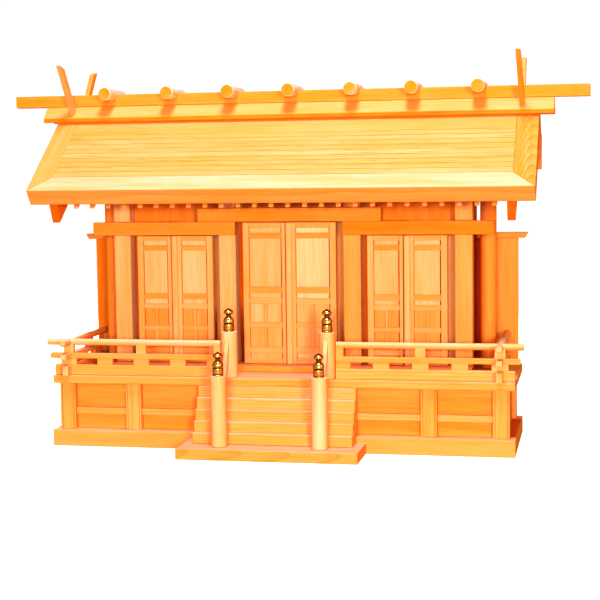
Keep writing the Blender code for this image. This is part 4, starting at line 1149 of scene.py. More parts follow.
def build_railings():
    """Front and side rails of each side, lapped at the corner, with blocks between the rails."""
    block_depths = (at_depth(RAIL_FRONT + BLOCK_INSET), at_depth(RAIL_FRONT + BLOCK_BACK))
    bottom_depths = tuple(at_depth(depth) for depth in BOTTOM_RAIL_DEPTHS)
    middle_depths = (at_depth(RAIL_FRONT), at_depth(MIDDLE_RAIL_BACK))
    lower = (BOTTOM_RAIL[1], MIDDLE_RAIL[0])
    upper = (MIDDLE_RAIL[1], TOP_RAIL_Z)
    half_side = SIDE_RAIL_WIDTH / 2
    half_lower = LOWER_BLOCK / 2
    half_upper = UPPER_BLOCK / 2
    top_y = at_depth(TOP_RAIL_DEPTH)
    rear = at_depth(RAIL_BACK)
    for (side, sign), top_tone in zip(sides(), (0.72, 0.44)):
        rails = Timber("railing_joinery_" + side)
        start = sign * RAIL_START
        bottom = block((start, sign * BOTTOM_RAIL_END), bottom_depths, BOTTOM_RAIL)
        rails.add(bottom, ALONG_X, FACES_FRONT, tone=0.42)
        middle = block((start, sign * MIDDLE_RAIL_END), middle_depths, MIDDLE_RAIL)
        rails.add(middle, ALONG_X, FACES_FRONT, tone=0.34, lift=0.3)
        span = sorted((start, sign * TOP_RAIL_END))
        top = round_bar(TOP_RAIL_RADIUS, "X", span[0], span[1], (top_y, TOP_RAIL_Z))
        rails.add(top, ALONG_X, FACES_FRONT, tone=top_tone, soften=0.0)

        outer = sign * SIDE_RAIL_X
        side_span = (outer - half_side, outer + half_side)
        bottom_heights = (BOTTOM_RAIL[0], BOTTOM_RAIL[1] - SIDE_RAIL_LAP)
        middle_heights = (MIDDLE_RAIL[0] + SIDE_RAIL_LAP, MIDDLE_RAIL[1] - SIDE_RAIL_LAP)
        for front, heights, tone in (
            (SIDE_BOTTOM_RAIL_FRONT, bottom_heights, 0.42),
            (SIDE_MIDDLE_RAIL_FRONT, middle_heights, 0.50),
        ):
            form = block(side_span, (at_depth(front), rear), heights)
            rails.add(form, ALONG_Y, FACES_SIDE, tone=tone, end_drop=SAWN_END_DROP)
        top = round_bar(TOP_RAIL_RADIUS, "Y", at_depth(SIDE_TOP_RAIL_FRONT), rear, (outer, TOP_RAIL_Z))
        rails.add(top, ALONG_Y, FACES_SIDE, tone=0.50, soften=0.0, end_drop=SAWN_END_DROP)

        for half, heights, count, step, tone in (
            (half_lower, lower, 4, 1, 0.42),
            (half_upper, upper, 2, 2, 0.50),
        ):
            form = block((outer - half, outer + half), block_depths, heights)
            spacing = (-step * sign * BLOCK_SPACING, 0.0, 0.0)
            rails.add_row(form, ALONG_X, FACES_FRONT, count, spacing, tone=tone)
        for end, heights, tone in ((STAIR_LOWER_BLOCK, lower, 0.42), (STAIR_UPPER_BLOCK, upper, 0.46)):
            form = block((start, sign * end), block_depths, heights)
            rails.add(form, ALONG_X, FACES_FRONT, tone=tone)

        thin = (side_span[0] + BLOCK_INSET, side_span[1] - BLOCK_INSET)
        first = top_y + BLOCK_SPACING
        form = block(thin, (first - half_lower, first + half_lower), lower)
        rails.add_row(form, ALONG_Y, FACES_SIDE, 2, (0.0, BLOCK_SPACING, 0.0), tone=0.42)
        last = top_y + 3 * BLOCK_SPACING
        centre = top_y + 1.5 * BLOCK_SPACING
        for depths, heights in (
            ((last - half_lower, rear), lower),
            ((centre - half_upper, centre + half_upper), upper),
            ((rear - REAR_BLOCK, rear), upper),
        ):
            rails.add(block(thin, depths, heights), ALONG_Y, FACES_SIDE, tone=0.42)
        rails.finish(cypress(), "cypress", ["railing_" + side])


# Hall


# Tone of each front post from left to right, and how much deeper its sides are, as painted shade. Below 0
# the sides are paler, as painted light.
POST_TONES = {
    "corner_left": (0.60, -0.30),
    "centre_left": (0.60, -0.40),
    "centre_right": (0.36, -0.40),
    "corner_right": (0.42, 0.60),
}


def cut_off(form, direction, distance, keep_beyond):
    """Saw a form along a plane square to the direction and keep one of the two parts."""
    bmesh.ops.bisect_plane(
        form,
        geom=form.verts[:] + form.edges[:] + form.faces[:],
        plane_co=direction * distance,
        plane_no=direction,
        clear_inner=keep_beyond,
        clear_outer=not keep_beyond,
    )
    bmesh.ops.holes_fill(form, edges=form.edges)
    bmesh.ops.recalc_face_normals(form, faces=form.faces)
    return form


def build_hall_walls():
    """The front wall: a board over the side lintels and, behind each post, jambs of painted light and
    shade.
    """
    joint = box_of("lintel_left")[1].z
    wall = Timber("front_wall_boards")
    upper = cut_off(copy_of("front_wall"), ALONG_Z, joint + HAIRLINE, True)
    wall.add(upper, ALONG_Z, FACES_FRONT, tone=0.05)
    posts = [box_of("post_" + place) for place in POST_TONES]
    middles = [(low.x + high.x) / 2 for low, high in posts]
    halfway = [before / 2 + after / 2 for before, after in zip(middles, middles[1:])]
    ends = [None] + halfway + [None]
    for number, middle in enumerate(middles):
        # Left of each post a jamb of painted light, right of it one of painted shade.
        for tone, start, end in (
            (PAINTED_LIT_JAMB, ends[number], middle),
            (PAINTED_SHADED_JAMB, middle + HAIRLINE, ends[number + 1]),
        ):
            form = cut_off(copy_of("front_wall"), ALONG_Z, joint, False)
            if start is not None:
                form = cut_off(form, ALONG_X, start, True)
            if end is not None:
                form = cut_off(form, ALONG_X, end, False)
            wall.add(form, ALONG_Z, FACES_FRONT, tone=tone)
    wall.finish(cypress(), "cypress", ["front_wall"])
    whole_board("back_wall", ALONG_X, FACES_FRONT, 0.35, cut="flat")
    for side, _ in sides():
        # The side walls are deep red: painted shade where they stand back behind the posts and columns.
        whole_board("side_wall_" + side, ALONG_Z, FACES_SIDE, -0.80)
        whole_board("partition_" + side, ALONG_Z, FACES_SIDE, 0.20)


def build_posts():
    """The square posts of the front and the round columns at its ends."""
    for place, (tone, side_drop) in POST_TONES.items():
        pale_board("post_" + place, ALONG_Z, FACES_FRONT, tone, side_drop=side_drop)
    for side, _ in sides():
        low, high = box_of("column_" + side)
        centre = ((low.x + high.x) / 2, (low.y + high.y) / 2)
        column = Timber("column_round_" + side)
        form = round_bar((high.x - low.x) / 2, "Z", low.z, high.z, centre)
        column.add(form, ALONG_Z, FACES_FRONT, tone=0.26, cut="quarter", soften=0.0)
        column.finish(cypress(), "cypress", ["column_" + side])


def build_lintels():
    """A beam over each doorway."""
    for place, tone in (("left", 0.16), ("right", 0.06), ("centre", 0.16)):
        whole_board("lintel_" + place, ALONG_X, FACES_FRONT, tone, cut="rift", lift=0.4)


def astragal_outline(edge, inward, front):
    """Plan of the half-rounded moulding on the meeting stile of the wider leaf."""
    crest = front - ASTRAGAL_PROUD
    rise = []
    for number in range(ASTRAGAL_STEPS + 1):
        angle = math.pi / 2 * number / ASTRAGAL_STEPS
        inset = ASTRAGAL_CORNER * (1 - math.cos(angle))
        rise.append((inset, crest + ASTRAGAL_CORNER * (1 - math.sin(angle))))
    points = [(edge, front)]
    points += [(edge + inward * inset, y) for inset, y in rise]
    points += [(edge + inward * (ASTRAGAL_WIDTH - inset), y) for inset, y in reversed(rise)]
    points.append((edge + inward * ASTRAGAL_WIDTH, front))
    return points


def build_leaf(node, paler, low_paler):
    """One door leaf of stiles, rails, mullions and thin panels."""
    low, high = box_of(node)
    wider = node.endswith("_r")
    sign = -1.0 if wider else 1.0
    hinge, free = (high.x, low.x) if wider else (low.x, high.x)
    front, back = at_depth(DOOR_FRONT), at_depth(DOOR_BACK)
    depths = (front, back)
    full_height = (low.z, high.z)
    height = high.z - low.z
    leaf = Timber(node + "_joinery")

    outer_end = hinge + sign * OUTER_STILE
    inner_start = free - sign * (INNER_STILE + (ASTRAGAL_WIDTH if wider else 0.0))
    for span, tone in (((hinge, outer_end), 0.54), ((inner_start, free), 0.50)):
        leaf.add(block(span, depths, full_height), ALONG_Z, FACES_FRONT, tone=tone, cut="quarter")
    if wider:
        form = prism(astragal_outline(free, 1.0, front + HAIRLINE), "Z", *full_height)
        leaf.add(form, ALONG_Z, FACES_FRONT, tone=0.68, cut="quarter", soften=0.0)

    rail_span = (outer_end + sign * HAIRLINE, inner_start - sign * HAIRLINE)
    shown_span = (min(rail_span) + PANEL_GAP_LEFT, max(rail_span) - PANEL_GAP_RIGHT)
    shown_depths = (front + PANEL_RECESS, back - PANEL_TONGUE - HAIRLINE)
    tongue_depths = (back - PANEL_TONGUE, back - TONGUE_INSET)
    middle = outer_end + sign * abs(inner_start - outer_end) / 2
    mullion_span = (middle - MULLION / 2, middle + MULLION / 2)
    below = 0.0
    for low_share, high_share, count, tone, rail_tone in PANEL_ROWS + ((1.0, 1.0, 0, 0.0, TOP_RAIL_TONE),):
        rail = (low.z + below * height, low.z + low_share * height)
        form = block(rail_span, depths, rail)
        leaf.add(form, ALONG_X, FACES_FRONT, tone=rail_tone, soften=LEAF_SOFTENING)
        below = high_share
        opening = (low.z + low_share * height, low.z + high_share * height)
        panel = (opening[0] - PANEL_LAP, opening[1] + PANEL_LAP)
        if count:
            # The tongue behind each panel's gaps has the shade colour: painted shade in the gaps.
            form = block(rail_span, tongue_depths, panel)
            leaf.add(form, ALONG_Z, FACES_FRONT, tone=-1.1, soften=0.0)
            panel_tone = tone + (low_paler if count == 2 else paler)
            form = block(shown_span, shown_depths, panel)
            leaf.add(form, ALONG_Z, FACES_FRONT, tone=panel_tone, cut="quarter", soften=0.0)
        if count == 2:
            form = block(mullion_span, depths, (opening[0] + HAIRLINE, opening[1] - HAIRLINE))
            leaf.add(form, ALONG_Z, FACES_FRONT, tone=0.48, soften=LEAF_SOFTENING)
    leaf.finish(pale_cypress(), "pale_cypress", [node], body=node)


def build_doors():
    """Three pairs of leaves. Panels come from a paler or deeper board, with painted shade low in side bays.
    """
    for bay, paler, low_paler in (
        ("left", (0.12, 0.10), LOW_PANELS_PAINTED_SHADE),
        ("centre", (0.04, 0.32), LOW_PANELS_CENTRE),
        ("right", (0.0, 0.06), LOW_PANELS_PAINTED_SHADE),
    ):
        build_leaf("door_{}_l".format(bay), paler[0], low_paler)
        build_leaf("door_{}_r".format(bay), paler[1], low_paler)


# Wing screens, as X from the middle of the shrine, heights and depths.
SCREEN_WALL_X = 0.2453
SCREEN_FLOOR_X = 0.2485
SCREEN_STILE_X = 0.2575
SCREEN_OUTER_X = 0.3037
SCREEN_DEPTHS = (0.1720, 0.1775)
SCREEN_CAP_LOW = 0.2703
SCREEN_CAP_INNER_X = 0.2472
SCREEN_CAP_OUTER_X = (0.3127, 0.3172)


def build_wing_screens():
    """A panel and its inner stile under a cap whose outer end slopes, with painted shade on the stile."""
    for side, sign in sides():
        low, high = box_of("wing_screen_" + side)
        inner_wall = sign * SCREEN_WALL_X
        inner_floor = sign * SCREEN_FLOOR_X
        stile_edge = sign * SCREEN_STILE_X
        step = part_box("hall_floor")[1].z + FIT_GAP
        panel_depths = tuple(at_depth(depth) for depth in SCREEN_DEPTHS)
        panel_high = SCREEN_CAP_LOW - HAIRLINE
        stile = (
            (inner_wall, step),
            (inner_floor, step),
            (inner_floor, low.z),
            (stile_edge, low.z),
            (stile_edge, panel_high),
            (inner_wall, panel_high),
        )
        screen = Timber("wing_screen_joinery_" + side)
        # The inner stile behind the column has the shade colour: painted shade.
        screen.add(prism(stile, "Y", *panel_depths), ALONG_Z, FACES_FRONT, tone=-1.0, soften=0.0)
        panel_span = (stile_edge + sign * HAIRLINE, sign * SCREEN_OUTER_X)
        panel = block(panel_span, panel_depths, (low.z, panel_high))
        # The left panel is deeper than the right one: painted shade.
        screen.add(panel, ALONG_Z, FACES_FRONT, tone=0.42 if sign > 0.0 else -0.02, cut="rift")
        cap_outline = (
            (sign * SCREEN_CAP_INNER_X, SCREEN_CAP_LOW),
            (sign * SCREEN_CAP_OUTER_X[0], SCREEN_CAP_LOW),
            (sign * SCREEN_CAP_OUTER_X[1], high.z),
            (sign * SCREEN_CAP_INNER_X, high.z),
        )
        screen.add(prism(cap_outline, "Y", low.y, high.y), ALONG_X, FACES_FRONT, tone=0.30)
        screen.finish(cypress(), "cypress", ["wing_screen_" + side])


# Roof


def slope_top(depth):
    run = min(depth, 2 * RIDGE_DEPTH - depth) - EAVE_DEPTH
    return EAVE_Z + run * math.tan(ROOF_SLOPE)


def slope_under(depth):
    return slope_top(depth) - ROOF_THICKNESS / math.cos(ROOF_SLOPE)


SLOPE_ALONG = Vector((0.0, math.cos(ROOF_SLOPE), math.sin(ROOF_SLOPE)))
SLOPE_OUT = Vector((0.0, -math.sin(ROOF_SLOPE), math.cos(ROOF_SLOPE)))
REAR_SLOPE_ALONG = Vector((0.0, math.cos(ROOF_SLOPE), -math.sin(ROOF_SLOPE)))
REAR_SLOPE_OUT = Vector((0.0, math.sin(ROOF_SLOPE), math.cos(ROOF_SLOPE)))
RIDGE_REACH = (RIDGE_DEPTH - FIT_GAP / 2 - EAVE_DEPTH) / math.cos(ROOF_SLOPE)


def slope_place(x, along, above):
    """A point on the front slope: along X, up the slope from the eave, and square to it."""
    start = Vector((x, at_depth(EAVE_DEPTH), EAVE_Z))
    return start + along * SLOPE_ALONG + above * SLOPE_OUT


def slope_slab(outline, above):
    """A board on the front slope, from an outline of (X, distance up the slope). It stops at the ridge."""
    form = bmesh.new()
    rings = []
    for level in above:
        rings.append([form.verts.new(slope_place(x, along, level)) for x, along in outline])
    form.faces.new(rings[0])
    form.faces.new(rings[1])
    for number in range(len(outline)):
        following = (number + 1) % len(outline)
        form.faces.new((rings[0][number], rings[0][following], rings[1][following], rings[1][number]))
    limit = at_depth(RIDGE_DEPTH - FIT_GAP / 2)
    for vertex in form.verts:
        if vertex.co.y > limit:
            vertex.co -= SLOPE_ALONG * ((vertex.co.y - limit) / math.cos(ROOF_SLOPE))
    bmesh.ops.recalc_face_normals(form, faces=form.faces)
    return form


def field_strip(start, end):
    """Outline of a strip across the field between the end boards."""
    half = FIELD_HALF_WIDTH - HAIRLINE
    return ((-half, start), (half, start), (half, end), (-half, end))


def build_front_slope():
    """End boards mitred into the eave board, and a field of narrow boards between them."""
    roof = Timber("roof_front_boards")
    through = (-ROOF_THICKNESS, 0.0)
    eave = (
        (HAIRLINE - EAVE_HALF_WIDTH, 0.0),
        (EAVE_HALF_WIDTH - HAIRLINE, 0.0),
        (FIELD_HALF_WIDTH - HAIRLINE, FIELD_START - HAIRLINE),
        (HAIRLINE - FIELD_HALF_WIDTH, FIELD_START - HAIRLINE),
    )
    roof.add(slope_slab(eave, through), ALONG_X, SLOPE_OUT, tone=0.42, cut="quarter", lift=0.38, dash=0.04)
    for cut, tone, sign, figure in (
        ("rift", 0.06, -1.0, {}),
        ("arched", -0.04, 1.0, {"slant": 0.10, "rings": 0.75, "heart_side": 0.011}),
    ):
        end = (
            (sign * EAVE_HALF_WIDTH, 2 * HAIRLINE),
            (sign * EAVE_HALF_WIDTH, RIDGE_REACH),
            (sign * FIELD_HALF_WIDTH, RIDGE_REACH),
            (sign * FIELD_HALF_WIDTH, FIELD_START),
        )
        roof.add(slope_slab(end, through), SLOPE_ALONG, SLOPE_OUT, tone=tone, cut=cut, lift=0.32, **figure)
    board = field_strip(FIELD_START + FIELD_GAP / 2, FIELD_START + FIELD_BOARD_WIDTH - FIELD_GAP / 2)
    thin = (-FIELD_BOARD_THICKNESS, 0.0)
    roof.add_row(
        slope_slab(board, thin),
        ALONG_X,
        SLOPE_OUT,
        FIELD_BOARD_COUNT,
        SLOPE_ALONG * FIELD_BOARD_WIDTH,
        tone=0.15,
        cut="rift",
        soften=0.0001,
        lift=0.46,
        dash=0.60,
    )
    band_start = FIELD_START + FIELD_BOARD_COUNT * FIELD_BOARD_WIDTH + HAIRLINE
    band = slope_slab(field_strip(band_start, RIDGE_REACH), thin)
    roof.add(band, ALONG_X, SLOPE_OUT, tone=-0.06, cut="rift", lift=0.46)
    below = (-ROOF_THICKNESS, -FIELD_BOARD_THICKNESS - HAIRLINE)
    bed = slope_slab(field_strip(FIELD_START, RIDGE_REACH), below)
    roof.add(bed, ALONG_X, SLOPE_OUT, tone=0.20)
    roof.finish(cypress(), "cypress", ["roof_front"])


def build_rear_slope():
    """Three wide boards on the short rear slope, and the upright board that closes it."""
    roof = Timber("roof_rear_boards")
    start = RIDGE_DEPTH + FIT_GAP / 2
    run = (REAR_BOARD_FRONT - HAIRLINE - start) / REAR_SLOPE_BOARD_COUNT
    for number in range(REAR_SLOPE_BOARD_COUNT):
        near = start + number * run + (HAIRLINE if number else 0.0)
        far = start + (number + 1) * run
        outline = (
            (at_depth(near), slope_top(near)),
            (at_depth(near), slope_under(near)),
            (at_depth(far), slope_under(far)),
            (at_depth(far), slope_top(far)),
        )
        form = prism(outline, "X", -EAVE_HALF_WIDTH, EAVE_HALF_WIDTH)
        roof.add(form, ALONG_X, REAR_SLOPE_OUT, tone=0.22, cut="rift", lift=0.45)
    form = block(
        (-EAVE_HALF_WIDTH, EAVE_HALF_WIDTH),
        (at_depth(REAR_BOARD_FRONT), at_depth(REAR_BOARD_BACK)),
        (REAR_BOARD_LOW, REAR_BOARD_HIGH),
    )
    roof.add(form, ALONG_X, FACES_FRONT, tone=0.30, cut="flat")
    roof.finish(cypress(), "cypress", ["roof_rear"])


def build_gables():
    """A raked barge board on each slope, plumb cut at the ridge, and upright boards between them."""
    rear_end = REAR_BOARD_FRONT - FIT_GAP
    drop = slope_under(BARGE_HEEL_DEPTH) - BARGE_HEEL_Z
    ridge_front = RIDGE_DEPTH - HAIRLINE / 2
    ridge_rear = RIDGE_DEPTH + HAIRLINE / 2
    front_rake = (
        (at_depth(BARGE_TIP_DEPTH), slope_under(BARGE_TIP_DEPTH) - FIT_GAP),
        (at_depth(BARGE_HEEL_DEPTH), BARGE_HEEL_Z),
        (at_depth(ridge_front), slope_under(ridge_front) - drop),
        (at_depth(ridge_front), slope_under(ridge_front) - FIT_GAP),
    )
    rear_rake = (
        (at_depth(ridge_rear), slope_under(ridge_rear) - FIT_GAP),
        (at_depth(ridge_rear), slope_under(ridge_rear) - drop),
        (at_depth(rear_end), slope_under(rear_end) - drop),
        (at_depth(rear_end), slope_under(rear_end) - FIT_GAP),
    )
    width = (rear_end - GABLE_FRONT) / GABLE_BOARD_COUNT
    for side, sign in sides():
        gable = Timber("gable_joinery_" + side)
        span = sorted((sign * BARGE_OUTER, sign * (BARGE_OUTER - BARGE_THICKNESS)))
        gable.add(prism(front_rake, "X", *span), SLOPE_ALONG, FACES_SIDE, tone=-0.12, cut="flat")
        gable.add(prism(rear_rake, "X", *span), REAR_SLOPE_ALONG, FACES_SIDE, tone=0.12, cut="flat")
        inner = sorted((sign * GABLE_INNER, sign * (BARGE_OUTER - BARGE_THICKNESS - HAIRLINE)))
        for number in range(GABLE_BOARD_COUNT):
            near = GABLE_FRONT + number * width + HAIRLINE
            far = GABLE_FRONT + (number + 1) * width - HAIRLINE
            outline = [(at_depth(near), GABLE_LOW), (at_depth(far), GABLE_LOW)]
            outline.append((at_depth(far), slope_under(far) - 2 * FIT_GAP))
            if near < RIDGE_DEPTH < far:
                outline.append((at_depth(RIDGE_DEPTH), slope_under(RIDGE_DEPTH) - 2 * FIT_GAP))
            outline.append((at_depth(near), slope_under(near) - 2 * FIT_GAP))
            gable.add(prism(outline, "X", *inner), ALONG_Z, FACES_SIDE, tone=0.28)
        gable.finish(cypress(), "cypress", ["gable_" + side])


def rafter_under(depth):
    return RAFTER_TIP_LOW + (depth - RAFTER_TIP_DEPTH) * math.tan(ROOF_SLOPE)


def build_eaves():
    """The ceiling, the board under the eave, and the row of rafters below it."""
    whole_board("ceiling", ALONG_X, FACES_FRONT, -0.02)
    rows = bpy.context.scene.kamidana_rows
    low, high = box_of("eaves")
    drop = RAFTER_HEIGHT / math.cos(ROOF_SLOPE)
    front = RAFTER_TIP_DEPTH + EAVE_BOARD_SET_BACK
    back = RAFTER_BACK + FIT_GAP
    board = (
        (at_depth(front), rafter_under(front) + drop + HAIRLINE),
        (at_depth(back), rafter_under(back) + drop + HAIRLINE),
        (at_depth(back), slope_under(back) - FIT_GAP),
        (at_depth(front), slope_under(front) - FIT_GAP),
    )
    eaves = Timber("eaves_joinery")
    # The board under the eave is deep red: painted shade between the rafters.
    eaves.add(prism(board, "X", low.x, high.x), ALONG_X, SLOPE_OUT, tone=-0.80)
    rafter = (
        (at_depth(RAFTER_TIP_DEPTH), rafter_under(RAFTER_TIP_DEPTH)),
        (at_depth(RAFTER_BACK), rafter_under(RAFTER_BACK)),
        (at_depth(RAFTER_BACK), rafter_under(RAFTER_BACK) + drop),
        (at_depth(RAFTER_TIP_DEPTH), rafter_under(RAFTER_TIP_DEPTH) + drop),
    )
    first = -(rows.rafter_count - 1) / 2 * rows.rafter_spacing
    form = prism(rafter, "X", first - rows.rafter_width / 2, first + rows.rafter_width / 2)
    eaves.add_row(
        form,
        SLOPE_ALONG,
        FACES_SIDE,
        rows.rafter_count,
        (rows.rafter_spacing, 0.0, 0.0),
        tone=0.75,
    )
    eaves.finish(cypress(), "cypress", ["eaves"])


# Ridge


def build_ridge():
    """Cap boards, the square beam with its seats, and the round logs across it."""
    low, high = box_of("ridge_cap")
    cap = Timber("ridge_cap_boards")
    roof_run = (slope_top(RIDGE_DEPTH) + FIT_GAP - CAP_EDGE[0]) / math.tan(ROOF_SLOPE)
    for direction in (-1.0, 1.0):
        middle = RIDGE_DEPTH + direction * HAIRLINE / 2
        outline = (
            (at_depth(middle), slope_top(RIDGE_DEPTH) + FIT_GAP),
            (at_depth(RIDGE_DEPTH + direction * roof_run), CAP_EDGE[0]),
            (at_depth(RIDGE_DEPTH + direction * CAP_HALF_DEPTH), CAP_EDGE[0]),
            (at_depth(RIDGE_DEPTH + direction * CAP_HALF_DEPTH), CAP_EDGE[1]),
            (at_depth(RIDGE_DEPTH + direction * CAP_FLAT_HALF), CAP_TOP),
            (at_depth(middle), CAP_TOP),
        )
        form = prism(outline, "X", low.x, high.x)
        # The top faces get painted light and the front edge painted shade.
        cap.add(form, ALONG_X, FACES_UP, tone=0.04, cut="quarter", lift=0.26, front_drop=0.40)
    cap.finish(pale_cypress(), "pale_cypress", ["ridge_cap"])
    whole_board("ridge_beam", ALONG_X, FACES_FRONT, 0.16, cut="rift")

    nodes = ["ridge_log_{}".format(number + 1) for number in range(LOG_COUNT)]
    boxes = [box_of(node) for node in nodes]
    radius = (boxes[0][1].x - boxes[0][0].x) / 2
    places = [((low.x + high.x) / 2, 0.0, (low.z + high.z) / 2) for low, high in boxes]
    logs = Timber("ridge_logs")
    logs.add_at(
        round_bar(radius, "Y", boxes[0][0].y, boxes[0][1].y, (0.0, 0.0), chamfer=LOG_CHAMFER),
        ALONG_Y,
        FACES_UP,
        places,
        tone=1.20,
        soften=0.0,
        lift=0.10,
        end_drop=1.20,
    )
    logs.finish(pale_cypress(), "pale_cypress", nodes)


def build_chigi():
    """Four finials that lean away from the ridge."""
    for slope, direction, tones in (("front", -1.0, (0.44, 0.06)), ("rear", 1.0, (-0.06, 0.12))):
        lean = Vector((0.0, direction * CHIGI_RUN, CHIGI_RISE))
        for (side, _), tone in zip(sides(), tones):
            pale_board("chigi_{}_{}".format(slope, side), lean, FACES_SIDE, tone)


# Stage


# The floor lies a hair below the shrine, and its mottling is barely darker than its colour.
FLOOR_RADIUS = 1.7
FLOOR_DROP = 0.0002
FLOOR_MOTTLE = 0.98


def aim(thing, target):
    direction = Vector(target) - thing.location
    thing.rotation_euler = direction.to_track_quat("-Z", "Y").to_euler()


def add_area_light(name, place, target, size, power, colour):
    light = bpy.data.lights.new(name, "AREA")
    light.color = colour
    light.shape = "RECTANGLE"
    light.size, light.size_y = size
    light.energy = power
    lamp = bpy.data.objects.new(name, light)
    bpy.context.scene.collection.objects.link(lamp)
    lamp.location = place
    aim(lamp, target)


def build_floor():
    look = bpy.context.scene.kamidana_stage
    form = bmesh.new()
    bmesh.ops.create_circle(form, cap_ends=True, segments=96, radius=FLOOR_RADIUS)
    mesh = bpy.data.meshes.new("floor")
    form.to_mesh(mesh)
    form.free()
    floor = bpy.data.objects.new("floor", mesh)
    bpy.context.scene.collection.objects.link(floor)
    floor.location.z = -FLOOR_DROP
    material, wire, shader = new_material("floor_paper")
    place = wire.node("ShaderNodeTexCoord").outputs["Object"]
    mottle = wire.noise(place, (9.0, 9.0, 9.0), 3.0)
    shade = tuple(channel * FLOOR_MOTTLE for channel in look.floor)
    wire.put(shader.inputs["Base Color"], wire.mix_colour(mottle, (*look.floor, 1.0), (*shade, 1.0)))
    shader.inputs["Roughness"].default_value = 0.85
    shader.inputs["Emission Color"].default_value = (1.0, 1.0, 1.0, 1.0)
    seen = wire.node("ShaderNodeLightPath").outputs["Is Camera Ray"]
    wire.put(shader.inputs["Emission Strength"], wire.math("MULTIPLY", seen, look.glow))
    mesh.materials.append(material)


def build_room_light():
    """Even light from all sides. The camera sees it as plain white paper."""
    look = bpy.context.scene.kamidana_stage
    world = bpy.data.worlds.new("room")
    bpy.context.scene.world = world
    world.use_nodes = True
    wire = Wiring(world.node_tree)
    background = world.node_tree.nodes["Background"]
    rays = wire.node("ShaderNodeLightPath")
    paper = (1.05, 1.05, 1.05, 1.0)
    even = tuple(channel * look.room for channel in look.warmth)
    mirrored = wire.mix_colour(rays.outputs["Is Glossy Ray"], (*even, 1.0), (*look.mirrored, 1.0))
    wire.put(background.inputs["Color"], wire.mix_colour(rays.outputs["Is Camera Ray"], mirrored, paper))
    background.inputs["Strength"].default_value = 1.0


def build_camera():
    """The photograph's view."""
    forward = Vector(
        (
            -math.sin(CAMERA_YAW) * math.cos(CAMERA_PITCH),
            math.cos(CAMERA_YAW) * math.cos(CAMERA_PITCH),
            math.sin(CAMERA_PITCH),
        )
    )
    level_right = forward.cross(ALONG_Z).normalized()
    level_up = level_right.cross(forward)
    right = math.cos(CAMERA_ROLL) * level_right + math.sin(CAMERA_ROLL) * level_up
    up = math.cos(CAMERA_ROLL) * level_up - math.sin(CAMERA_ROLL) * level_right
    turn = Matrix((right, up, -forward)).transposed().to_4x4()
    lens = bpy.data.cameras.new("camera")
    camera = bpy.data.objects.new("camera", lens)
    bpy.context.scene.collection.objects.link(camera)
    camera.matrix_world = Matrix.Translation(CAMERA_PLACE) @ turn
    lens.sensor_width = 36.0
    lens.sensor_fit = "HORIZONTAL"
    lens.lens = FOCAL_PIXELS * lens.sensor_width / FRAME_PIXELS
    lens.shift_x = (FRAME_PIXELS / 2 - PRINCIPAL_POINT[0]) / FRAME_PIXELS
    lens.shift_y = (PRINCIPAL_POINT[1] - FRAME_PIXELS / 2) / FRAME_PIXELS
    lens.clip_start = 0.05
    bpy.context.scene.camera = camera


def build_stage():
    """The floor, the light, the camera and the depth of the picture's shadows."""
    look = bpy.context.scene.kamidana_stage
    build_floor()
    build_room_light()
    for name, place, target, size, power, colour in (
        ("key", (0.14, -0.66, 2.10), (0.0, 0.0, 0.35), (0.5, 0.5), look.key, look.key_colour),
        ("front_fill", (0.27, -3.93, 0.62), (0.0, 0.0, 0.22), (0.6, 0.6), look.fill, look.fill_colour),
        ("right_fill", (1.62, -3.60, 0.68), (0.0, 0.0, 0.22), (0.6, 0.6), look.right, look.fill_colour),
        ("side_fill", (2.30, -1.00, 0.70), (0.1, 0.0, 0.22), (0.8, 0.8), look.side, look.fill_colour),
        ("rear_fill", (-1.10, 3.90, 0.90), (0.0, 0.0, 0.22), (0.9, 0.8), look.rear, look.fill_colour),
    ):
        add_area_light(name, place, target, size, power, colour)
    build_camera()
    view = bpy.context.scene.view_settings
    view.view_transform = "Standard"
    view.gamma = look.gamma


# Operators


class KAMIDANA_OT_plinth(bpy.types.Operator):
    """Build the plinth's four boards"""

    bl_idname = "kamidana.plinth"
    bl_label = "Plinth"

    def execute(self, context):
        build_plinth()
        return {"FINISHED"}


class KAMIDANA_OT_lower_storey(bpy.types.Operator):
    """Build the posts, boards and ties under the deck"""

    bl_idname = "kamidana.lower_storey"
    bl_label = "Lower storey"

    def execute(self, context):
        build_lower_storey()
        return {"FINISHED"}


class KAMIDANA_OT_floors(bpy.types.Operator):
    """Build the deck and the hall floor"""

    bl_idname = "kamidana.floors"
    bl_label = "Deck and hall floor"

    def execute(self, context):
        build_floors()
        return {"FINISHED"}


class KAMIDANA_OT_stair(bpy.types.Operator):
    """Build the stair and the board it stands on"""

    bl_idname = "kamidana.stair"
    bl_label = "Stair"

    def execute(self, context):
        build_stair()
        return {"FINISHED"}


class KAMIDANA_OT_newels(bpy.types.Operator):
    """Build the round newel posts and the handrails"""

    bl_idname = "kamidana.newels"
    bl_label = "Newels and handrails"

    def execute(self, context):
        build_newels()
        return {"FINISHED"}


class KAMIDANA_OT_brass_caps(bpy.types.Operator):
    """Build the brass caps of the newel posts"""

    bl_idname = "kamidana.brass_caps"
    bl_label = "Brass caps"

    def execute(self, context):
        build_brass_caps()
        return {"FINISHED"}


class KAMIDANA_OT_railings(bpy.types.Operator):
    """Build the veranda railing"""

    bl_idname = "kamidana.railings"
    bl_label = "Railings"

    def execute(self, context):
        build_railings()
        return {"FINISHED"}


class KAMIDANA_OT_hall_walls(bpy.types.Operator):
    """Build the walls of the hall"""

    bl_idname = "kamidana.hall_walls"
    bl_label = "Hall walls"

    def execute(self, context):
        build_hall_walls()
        return {"FINISHED"}


